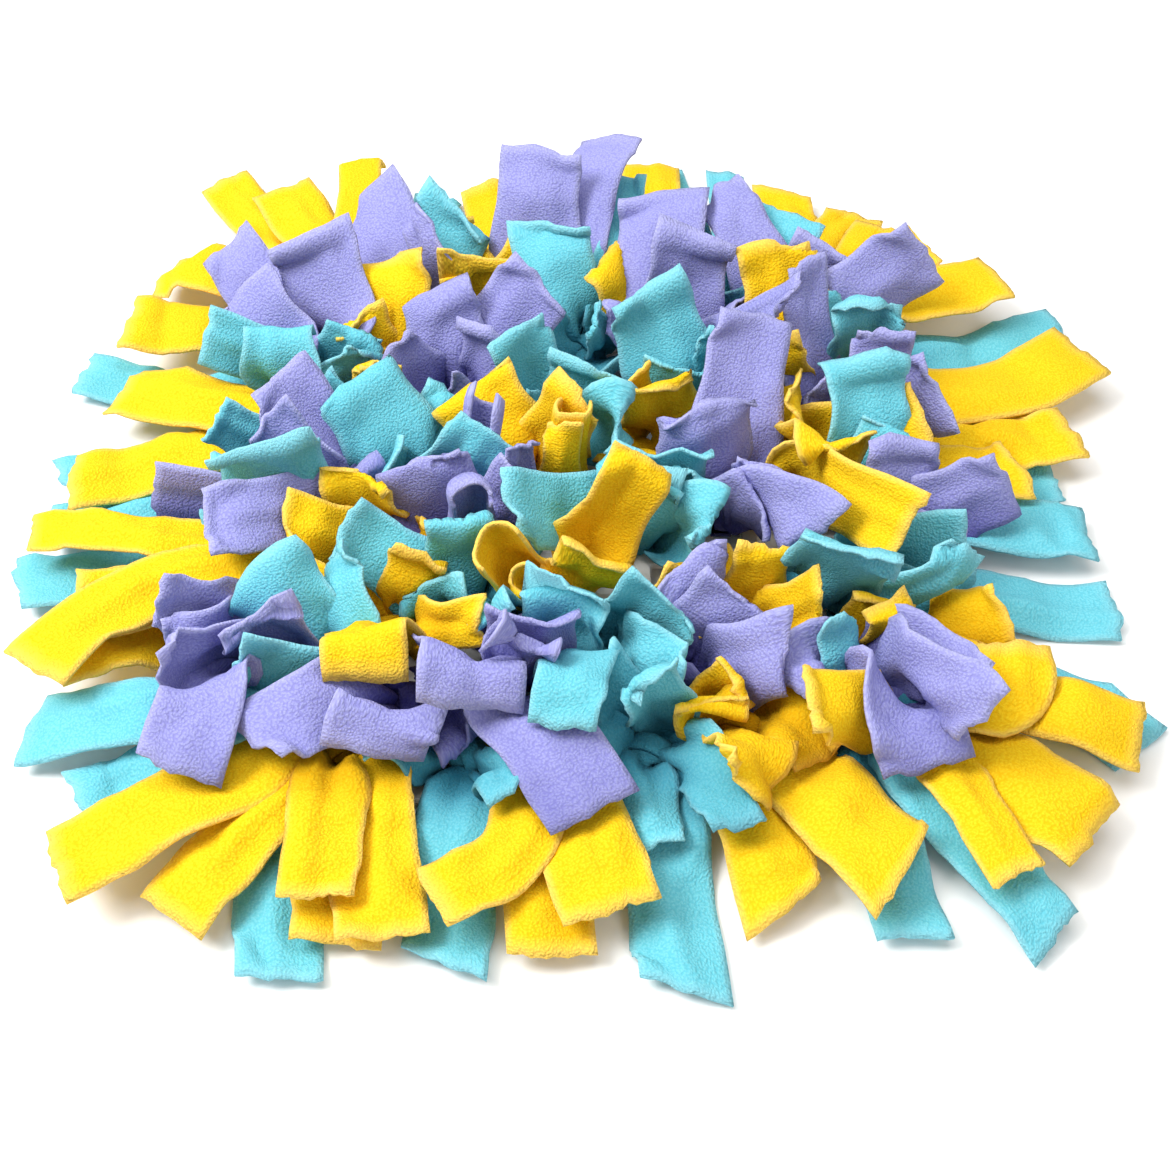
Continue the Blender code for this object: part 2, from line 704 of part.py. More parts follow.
def lay_all():
    """Places every end clear of the ones before it, shifting it a little where it would cut one."""
    chance = random.Random(7)
    ground = Ground()
    placed = []
    result = {name: [] for name in TUFTS}
    knots = {name: knot_place(tuft)[0] for name, tuft in TUFTS.items()}
    ways = {}
    for name, tuft in TUFTS.items():
        ends = list(tuft.floor) + list(tuft.raised)
        bearings = []
        for end in ends:
            x, y = end.tip_x * MM - knots[name].x, end.tip_y * MM - knots[name].y
            bearings.append(math.degrees(math.atan2(y, x)))
        for end, bearing in zip(ends, spread(bearings, min(LEAST_APART, 358.0 / len(ends)))):
            ways[(name, end)] = heading(bearing)
    blocks = {name: tree_and_box(*head_block(tuft, 0.0002)) for name, tuft in TUFTS.items()}
    # while a knot has ends to come, the room over its head is kept free for them
    rooms = {name: tree_and_box(*head_block(tuft, ROOM_ABOVE)) for name, tuft in TUFTS.items()}
    waiting = {name: list(tuft.floor) + list(tuft.raised) for name, tuft in TUFTS.items()}

    def clear(strip, owner, way, end):
        tree, box = tree_and_box(strip.corners(CLEAR), strip.faces())
        for name in TUFTS:
            other, other_box = rooms[name] if waiting[name] else blocks[name]
            if name != owner and not apart(box, other_box) and tree.overlap(other):
                return False
        for name, other, other_box in placed:
            if not apart(box, other_box) and tree.overlap(other):
                return False
        if crosses_itself(strip.corners(), strip.faces()):
            return False
        return not crosses_itself(*tuft_mesh(TUFTS[owner], result[owner] + [(way, strip, end)]))

    def keep(strip, owner, way, end):
        placed.append((owner,) + tree_and_box(strip.corners(), strip.faces()))
        result[owner].append((way, strip, end))

    def lay_end(name, way, end, attempts):
        """Tries an end on the floor as it is stated, then shifted and bent by more and more."""
        for attempt in range(attempts):
            reach = min(1.0, attempt / 90) * 0.032
            tip = Vector((end.tip_x * MM + chance.uniform(-reach, reach),
                          end.tip_y * MM + chance.uniform(-reach, reach), 0.0))
            bend = end.bend + chance.uniform(-1, 1) * 32 * min(1.0, attempt / 90)
            strip = floor_strip(ground, knots[name], way, end, tip, bend, end.width * MM)
            over = max(abs(p.x) - SPREAD - SPREAD_SLOPE * p.y for p in strip.corners())
            if over > 0:
                tip.x -= math.copysign(over, tip.x)
                strip = floor_strip(ground, knots[name], way, end, tip, bend, end.width * MM)
            steep = max(abs(strip.middles[i + 1].z - strip.middles[i].z)
                        / (strip.middles[i + 1] - strip.middles[i]).length for i in range(5))
            if steep < 0.85 and clear(strip, name, way, end):
                for i, span in enumerate(strip.spans):
                    top = max(strip.middles[i].z + strip.thicks[i] / 2,
                              strip.middles[i + 1].z + strip.thicks[i + 1] / 2)
                    ground.cover(span, top)
                keep(strip, name, way, end)
                return True
        return False

    def raise_end(name, way, end, attempts):
        """Tries an end as it is stated, then shifted and turned by more and more."""
        for attempt in range(attempts):
            share = min(1.0, attempt / (0.5 * attempts))
            reach = 0.034 * share
            width = end.width * MM * (1.0 if attempt < 0.6 * attempts else 0.75)
            tip = Vector((end.tip_x * MM + chance.uniform(-reach, reach),
                          end.tip_y * MM + chance.uniform(-reach, reach),
                          max(0.014, end.tip_z * MM + chance.uniform(-0.6, 0.8) * reach)))
            turn = end.turn + chance.uniform(-1, 1) * 60 * share
            arch = max(0.0, end.arch * MM + chance.uniform(-0.3, 0.7) * reach)
            strip = raised_strip(knots[name], way, end, tip, turn, arch, width)
            if min(p.z for p in strip.corners()) > MAT_TOP + CLEAR and clear(strip, name, way, end):
                keep(strip, name, way, end)
                return True
        return False

    def other_knots(name, end, furthest):
        """Knots of the same colour near the tip, each with a free heading towards it."""
        tip = Vector((end.tip_x * MM, end.tip_y * MM, 0.0))
        found = []
        for other in TUFTS:
            gap = (knots[other] - tip).length
            if other.split('_')[0] != name.split('_')[0] or gap > furthest:
                continue
            taken = [math.degrees(math.atan2(way.y, way.x)) for way, strip, mine in result[other]]
            taken += [math.degrees(math.atan2(ways[(other, mine)].y, ways[(other, mine)].x))
                      for mine in waiting[other]]
            wanted = math.degrees(math.atan2(tip.y - knots[other].y, tip.x - knots[other].x))
            for turn in (0, 15, -15, 30, -30, 50, -50, 75, -75):
                if all(abs((wanted + turn - t + 180) % 360 - 180) >= LEAST_APART for t in taken):
                    found.append((gap + abs(turn) * 0.0004, other, heading(wanted + turn)))
                    break
        return sorted(found, key=lambda item: (item[0], item[1]))[:4]

    lying = sorted(((end.layer, name, end) for name, tuft in TUFTS.items() for end in tuft.floor),
                   key=lambda item: item[0])
    standing = sorted(((-end.width, name, end)
                       for name, tuft in TUFTS.items() for end in tuft.raised),
                      key=lambda item: (item[0], item[1]))
    jobs = [(lay_end, 260, 200, 0.22, lying), (raise_end, 420, 160, 0.11, standing)]
    lost = 0
    for lay, attempts, again, furthest, rows in jobs:
        missed = []
        for order, name, end in rows:
            if not lay(name, ways[(name, end)], end, attempts):
                missed.append((name, end))
            waiting[name].remove(end)
        for name, end in missed:
            others = other_knots(name, end, furthest)
            if any(lay(other, way, end, again) for gap, other, way in others):
                continue
            low = Floor(end.tip_x, end.tip_y, min(end.width, 38), 0, 3)
            if lay == raise_end and end.tip_z < 40:
                if any(lay_end(other, way, low, again) for gap, other, way in others):
                    continue
            lost += 1
            print('left out:', name, end)
    # short ends fill what is left open between the charted ones, most of them where few ends are
    shorts = 0
    for name in sorted(TUFTS, key=lambda name: (len(result[name]), name)):
        degrees = chance.uniform(0, 360)
        for k in range(24):
            degrees = (degrees + 15) % 360
            taken = [math.degrees(math.atan2(way.y, way.x)) for way, strip, mine in result[name]]
            if shorts >= SHORT_ENDS or min(abs((degrees - t + 180) % 360 - 180) for t in taken) < SHORT_APART:
                continue
            reach = chance.uniform(*SHORT_REACH)
            spot = knots[name] / MM + heading(degrees + chance.uniform(-20, 20)) * reach
            rise = round(chance.uniform(*SHORT_RISE))
            end = Raised(round(spot.x), round(spot.y), rise, chance.randint(24, 34), 0,
                         chance.randint(2, 10), chance.choice((0, 0, 1, 2)), True)
            if raise_end(name, heading(degrees), end, 34):
                shorts += 1
    print('ends laid', len(placed), 'left out', lost, 'short ones', shorts)
    return result


def tuft_mesh(tuft, ends):
    """A knot with its strips growing out of its head, and its loop round the bar, as one closed body."""
    knot, along_x = knot_place(tuft)
    ends = sorted(ends, key=lambda item: math.atan2(item[0].y, item[0].x))
    points, faces = [], []
    lower, upper = [], []
    for way, strip, end in ends:
        first = len(points)
        points += strip.corners()
        faces += strip.faces(first, True)
        # the strip's left side comes first when going round the head against the clock
        lower += [first + 1, first]
        upper += [first + 2, first + 3]

    def bearing(index):
        return math.atan2(points[index].y - knot.y, points[index].x - knot.x) % (2 * math.pi)

    # wide gaps between strips get points of their own, so that the head stays round
    rounded = ([], [])
    for i in range(len(lower)):
        rounded[0].append(lower[i])
        rounded[1].append(upper[i])
        if i % 2 == 0:
            continue
        start = bearing(lower[i])
        gap = (bearing(lower[(i + 1) % len(lower)]) - start) % (2 * math.pi)
        more = int(gap / math.radians(75))
        for k in range(1, more + 1):
            angle = start + gap * k / (more + 1)
            for side, height in ((0, -PINCH_THICK / 2), (1, PINCH_THICK / 2)):
                rounded[side].append(len(points))
                points.append(knot + Vector((math.cos(angle) * HEAD_RADIUS, math.sin(angle) * HEAD_RADIUS,
                                             HEAD_MIDDLE + height)))
    rooted = {(a, b) for a, b in zip(lower[0::2], lower[1::2])}
    lower, upper = rounded
    count = len(lower)
    for i in range(count):
        j = (i + 1) % count
        if (lower[i], lower[j]) not in rooted:
            faces += [(lower[i], lower[j], upper[j]), (lower[i], upper[j], upper[i])]
    apex = len(points)
    points.append(knot + Vector((0.0, 0.0, HEAD_TOP)))
    for i in range(count):
        faces.append((upper[i], upper[(i + 1) % count], apex))

    def box_point(long, wide, height):
        x, y = (long, wide) if along_x else (-wide, long)
        points.append(knot + Vector((x, y, height)))
        return len(points) - 1

    signs = ((1, -1), (1, 1), (-1, 1), (-1, -1))
    shoulder = [box_point(a * LOOP_OUTSIDE, b * LOOP_WIDE / 2, HEAD_FOOT) for a, b in signs]
    bottom = [box_point(a * LOOP_OUTSIDE, b * LOOP_WIDE / 2, LOOP_BOTTOM) for a, b in signs]
    over = [box_point(a * LOOP_INSIDE, b * LOOP_WIDE / 2, LOOP_OVER) for a, b in signs]
    under = [box_point(a * LOOP_INSIDE, b * LOOP_WIDE / 2, LOOP_UNDER) for a, b in signs]

    # the head narrows to the loop: a band of triangles between its lower rim and the loop's shoulder
    rim = sorted(lower, key=bearing)
    ring = sorted(shoulder, key=bearing)
    i = j = 0
    while i < len(rim) or j < len(ring):
        here, there = rim[i % len(rim)], ring[j % len(ring)]
        next_rim = bearing(rim[i % len(rim)]) if i < len(rim) else 9.0
        next_ring = bearing(ring[j % len(ring)]) if j < len(ring) else 9.0
        if next_rim <= next_ring:
            faces.append((rim[(i - 1) % len(rim)], ring[(j - 1) % len(ring)], here))
            i += 1
        else:
            faces.append((rim[(i - 1) % len(rim)], ring[(j - 1) % len(ring)], there))
            j += 1
    for a, b in ((0, 1), (2, 3)):
        faces += [(shoulder[a], bottom[a], bottom[b]), (shoulder[a], bottom[b], shoulder[b])]
        faces += [(over[a], over[b], under[b]), (over[a], under[b], under[a])]
    faces += [(bottom[0], bottom[3], bottom[2]), (bottom[0], bottom[2], bottom[1])]
    faces += [(over[0], over[3], over[2]), (over[0], over[2], over[1])]
    faces += [(under[0], under[1], under[2]), (under[0], under[2], under[3])]
    for a, b in ((3, 0), (1, 2)):
        outer = (shoulder[a], bottom[a], bottom[b], shoulder[b])
        inner = (over[a], under[a], under[b], over[b])
        for k in range(4):
            n = (k + 1) % 4
            faces += [(outer[k], outer[n], inner[n]), (outer[k], inner[n], inner[k])]
    return points, faces


def new_object(name, points, faces):
    mesh = bpy.data.meshes.new(name)
    mesh.from_pydata([tuple(p) for p in points], [], faces)
    work = bmesh.new()
    work.from_mesh(mesh)
    bmesh.ops.recalc_face_normals(work, faces=work.faces)
    if work.calc_volume(signed=True) < 0:
        bmesh.ops.reverse_faces(work, faces=work.faces)
    work.to_mesh(mesh)
    work.free()
    thing = bpy.data.objects.new(name, mesh)
    bpy.context.scene.collection.objects.link(thing)
    return thing


def finish(name, color, roughness):
    material = bpy.data.materials.new(name)
    material.use_nodes = True
    shader = material.node_tree.nodes['Principled BSDF']
    shader.inputs['Base Color'].default_value = (*color, 1.0)
    shader.inputs['Roughness'].default_value = roughness
    return material


def grid_mat(material):
    """The moulded grid: a border and bars with holes cut through, standing on small square feet."""
    lines = [-MAT_SIDE / 2]
    start = -GRID_CELLS * GRID_PITCH / 2
    rim = (GRID_PITCH - HOLE_SIDE) / 2
    for k in range(GRID_CELLS):
        lines += [start + k * GRID_PITCH + rim, start + (k + 1) * GRID_PITCH - rim]
    lines.append(MAT_SIDE / 2)
    work = bmesh.new()
    spots = [[work.verts.new((x, y, MAT_UNDERSIDE)) for x in lines] for y in lines]
    feet = []
    for j in range(len(lines) - 1):
        for i in range(len(lines) - 1):
            if i % 2 == 1 and j % 2 == 1:
                continue
            face = work.faces.new((spots[j][i], spots[j + 1][i], spots[j + 1][i + 1], spots[j][i + 1]))
            if i % 2 == 0 and j % 2 == 0 and (i // 2) % FOOT_EVERY == 0 and (j // 2) % FOOT_EVERY == 0:
                feet.append(face.calc_center_median())
    top = bmesh.ops.extrude_face_region(work, geom=list(work.faces), use_keep_orig=True)
    for item in top['geom']:
        if isinstance(item, bmesh.types.BMVert):
            item.co.z = MAT_TOP
    bmesh.ops.recalc_face_normals(work, faces=work.faces)
    for face in [f for f in work.faces if min((f.calc_center_median() - c).length for c in feet) < 1e-5]:
        down = bmesh.ops.extrude_discrete_faces(work, faces=[face])
        for vert in down['faces'][0].verts:
            vert.co.z = 0.0
    corners = [e for e in work.edges
               if all(abs(abs(v.co.x) - MAT_SIDE / 2) < 1e-5 and abs(abs(v.co.y) - MAT_SIDE / 2) < 1e-5
                      for v in e.verts)]
    bmesh.ops.bevel(work, geom=corners, offset=CORNER_CUT, segments=2, profile=0.5, affect='EDGES')
    bmesh.ops.recalc_face_normals(work, faces=work.faces)
    bmesh.ops.triangulate(work, faces=work.faces)
    mesh = bpy.data.meshes.new('grid_mat')
    work.to_mesh(mesh)
    work.free()
    mesh.materials.append(material)
    thing = bpy.data.objects.new('grid_mat', mesh)
    bpy.context.scene.collection.objects.link(thing)


def build():
    for thing in list(bpy.data.objects):
        bpy.data.objects.remove(thing)
    fleeces = {name: finish('fleece_' + name, color, 0.95) for name, color in FLEECE_COLORS.items()}
    grid_mat(finish('rubber_mat', RUBBER_COLOR, 0.5))
    ends = lay_all()
    for name, tuft in TUFTS.items():
        points, faces = tuft_mesh(tuft, ends[name])
        thing = new_object('tuft_' + name, points, faces)
        thing.data.materials.append(fleeces[name.split('_')[0]])


build()
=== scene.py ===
import math
import random
from collections import namedtuple

import bmesh
import bpy
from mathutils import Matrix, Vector, noise
from mathutils.bvhtree import BVHTree


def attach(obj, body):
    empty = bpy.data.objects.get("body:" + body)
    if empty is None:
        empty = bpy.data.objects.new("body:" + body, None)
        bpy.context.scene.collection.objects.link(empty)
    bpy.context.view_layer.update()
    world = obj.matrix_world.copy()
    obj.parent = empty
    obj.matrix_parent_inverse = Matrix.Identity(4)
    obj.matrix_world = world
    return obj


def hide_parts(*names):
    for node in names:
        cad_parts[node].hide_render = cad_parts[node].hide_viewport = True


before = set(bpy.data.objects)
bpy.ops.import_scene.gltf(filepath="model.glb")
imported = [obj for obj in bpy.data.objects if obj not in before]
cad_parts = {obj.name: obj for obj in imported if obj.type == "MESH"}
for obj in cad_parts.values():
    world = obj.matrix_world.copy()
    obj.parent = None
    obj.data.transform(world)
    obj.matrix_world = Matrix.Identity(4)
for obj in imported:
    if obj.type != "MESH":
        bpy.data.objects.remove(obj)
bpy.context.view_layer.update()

mm = 0.001

gridMat = {
    'cells': 12,           # holes along each side
    'pitch': 0.0255,
    'hole': 0.018,
    'side': 0.320,
    'underside': 0.0032,
    'top': 0.0070,
    'cornerCut': 0.006,
    'holeRound': 0.0022,   # radius in the holes' corners
    'edgeRound': 0.0006,
    'footEvery': 3,        # a foot at each third crossing
}

knotSize = {
    'radius': 0.0080,
    'middle': 0.0125,
    'top': 0.0185,
    'foot': 0.0078,
    'leastApart': 56.0,    # degrees between neighbouring ends
    'openGap': 75,         # degrees of bare head that get a point of their own
    'roomAbove': 0.010,    # kept free over a head, and round it
    'blockOver': 0.0006,
    'clothIn': 0.055,      # length and width of the cloth taken up by a knot and its loop
    'clothInWidth': 0.036,
    'loopWide': 0.0100,
    'loopOutside': 0.0066,
    'loopInside': 0.0043,
    'loopUnder': 0.0027,
    'loopBottom': 0.0005,
    'headOut': 0.0092,     # how far out the fine head reaches, and how deep its pleats draw it in
    'drawnIn': 0.13,
    'wrapOut': 0.0104,     # the turn of cloth laid over it
    'wrapWide': 0.0084,
    'wrapTurn': 1.9,
    'gap': 0.8,            # painted shade on a knot's head and loop, as if down in the gaps
}

cloth = {
    'thick': 0.0022,
    'pinchWidth': 0.0060,  # where a strip leaves its knot
    'pinchThick': 0.0030,
    'clear': 0.0004,
    'firstTwist': 35,      # degrees, at the knot
    'mostTwist': 55,       # degrees, from one section to the next
    'facing': Vector((0.0, -0.66, 0.75)),   # most broad sides are turned forward and up
    'unevenTurn': 18.0,
    'wide': 0.027,         # from this width on a raised strip has one section more
    'skew': (0.16, 0.10),  # how much a raised and a lying end are cut at a slant
    'leave': 0.14,         # how much of a lying strip still runs the way it left its knot
}

# a raised strip's control points: how far along it they are, and how high for its span, rise and arch
rising = {
    'leave': 0.009,
    'firstAlong': 0.10,
    'firstSpan': 0.26,
    'firstArch': 0.7,
    'firstRise': 0.12,
    'secondAlong': 0.68,
    'secondRise': 0.84,
    'secondArch': 1.25,
    'straighter': 0.7,     # how much less of span and arch where it runs across the view
}

# where a strip's sections are, in shares of its length, and how far it has opened from its pinch there
sections = {
    'short': ((0.0, 0.26, 0.62, 1.0), (0.0, 0.40, 0.94, 0.97)),
    'narrow': ((0.0, 0.20, 0.46, 0.74, 1.0), (0.0, 0.24, 0.80, 1.0, 0.97)),
    'wide': ((0.0, 0.17, 0.38, 0.60, 0.80, 1.0), (0.0, 0.16, 0.62, 0.94, 1.0, 0.97)),
    'floor': ((0.0, 0.14, 0.30, 0.50, 0.75, 1.0), (0.0, 0.22, 0.62, 0.90, 1.0, 1.0)),
}

laying = {
    'seed': 7,
    'cell': 0.003,         # cells in which the height of what lies on the floor is kept
    'lyingTries': (260, 200),   # for a lying end at its own knot, and at each other one,
    'lyingReach': 0.22,    # which may be so far off
    'raisedTries': (420, 160),
    'raisedReach': 0.11,
    'spread': 0.2765,      # how far to the sides ends may lie on the floor, and more for each metre back
    'spreadSlope': 0.236,
    'steepest': 0.85,      # rise of a lying end, as a share of its length
    'lyingPlay': 0.032,    # how far a tip may stray, the degrees its strip may bend, and tries until then
    'bendPlay': 32,
    'playTries': 90,
    'raisedPlay': 0.034,   # the same for a raised tip, and the degrees it may turn
    'turnPlay': 60,
    'narrower': 0.75,      # the share of its width that a raised end keeps which found no room at first
    'lowest': 0.014,       # height of a raised tip
    'otherKnots': 4,       # how many knots near it an end may go to, the ways it may leave them,
    'otherTurns': (0, 15, -15, 30, -30, 50, -50, 75, -75),
    'turnCost': 0.0004,    # and how much further off a knot seems for each degree
    'lowTip': 40,          # mm: a raised end that is lower may lie down instead, at most so wide
    'lowWidth': 38,
    'shortEnds': 84,       # the most short ends between the charted ones, and the tries for each
    'shortTries': 34,
    'shortApart': 48.0,    # degrees from the next end, from place to place, and how many one may stray
    'shortStep': 15,
    'shortStray': 20,
    'shortReach': (26, 46),     # mm
    'shortRise': (26, 50),
    'shortWidth': (24, 34),
    'shortArch': (2, 10),
    'shortCurls': (0, 0, 1, 2),
}

Floor = namedtuple('Floor', 'tipX tipY width layer bend', defaults=(0,))
Raised = namedtuple('Raised', 'tipX tipY tipZ width arch curl turn short', defaults=(0, False))
Tuft = namedtuple('Tuft', 'across along floor raised')

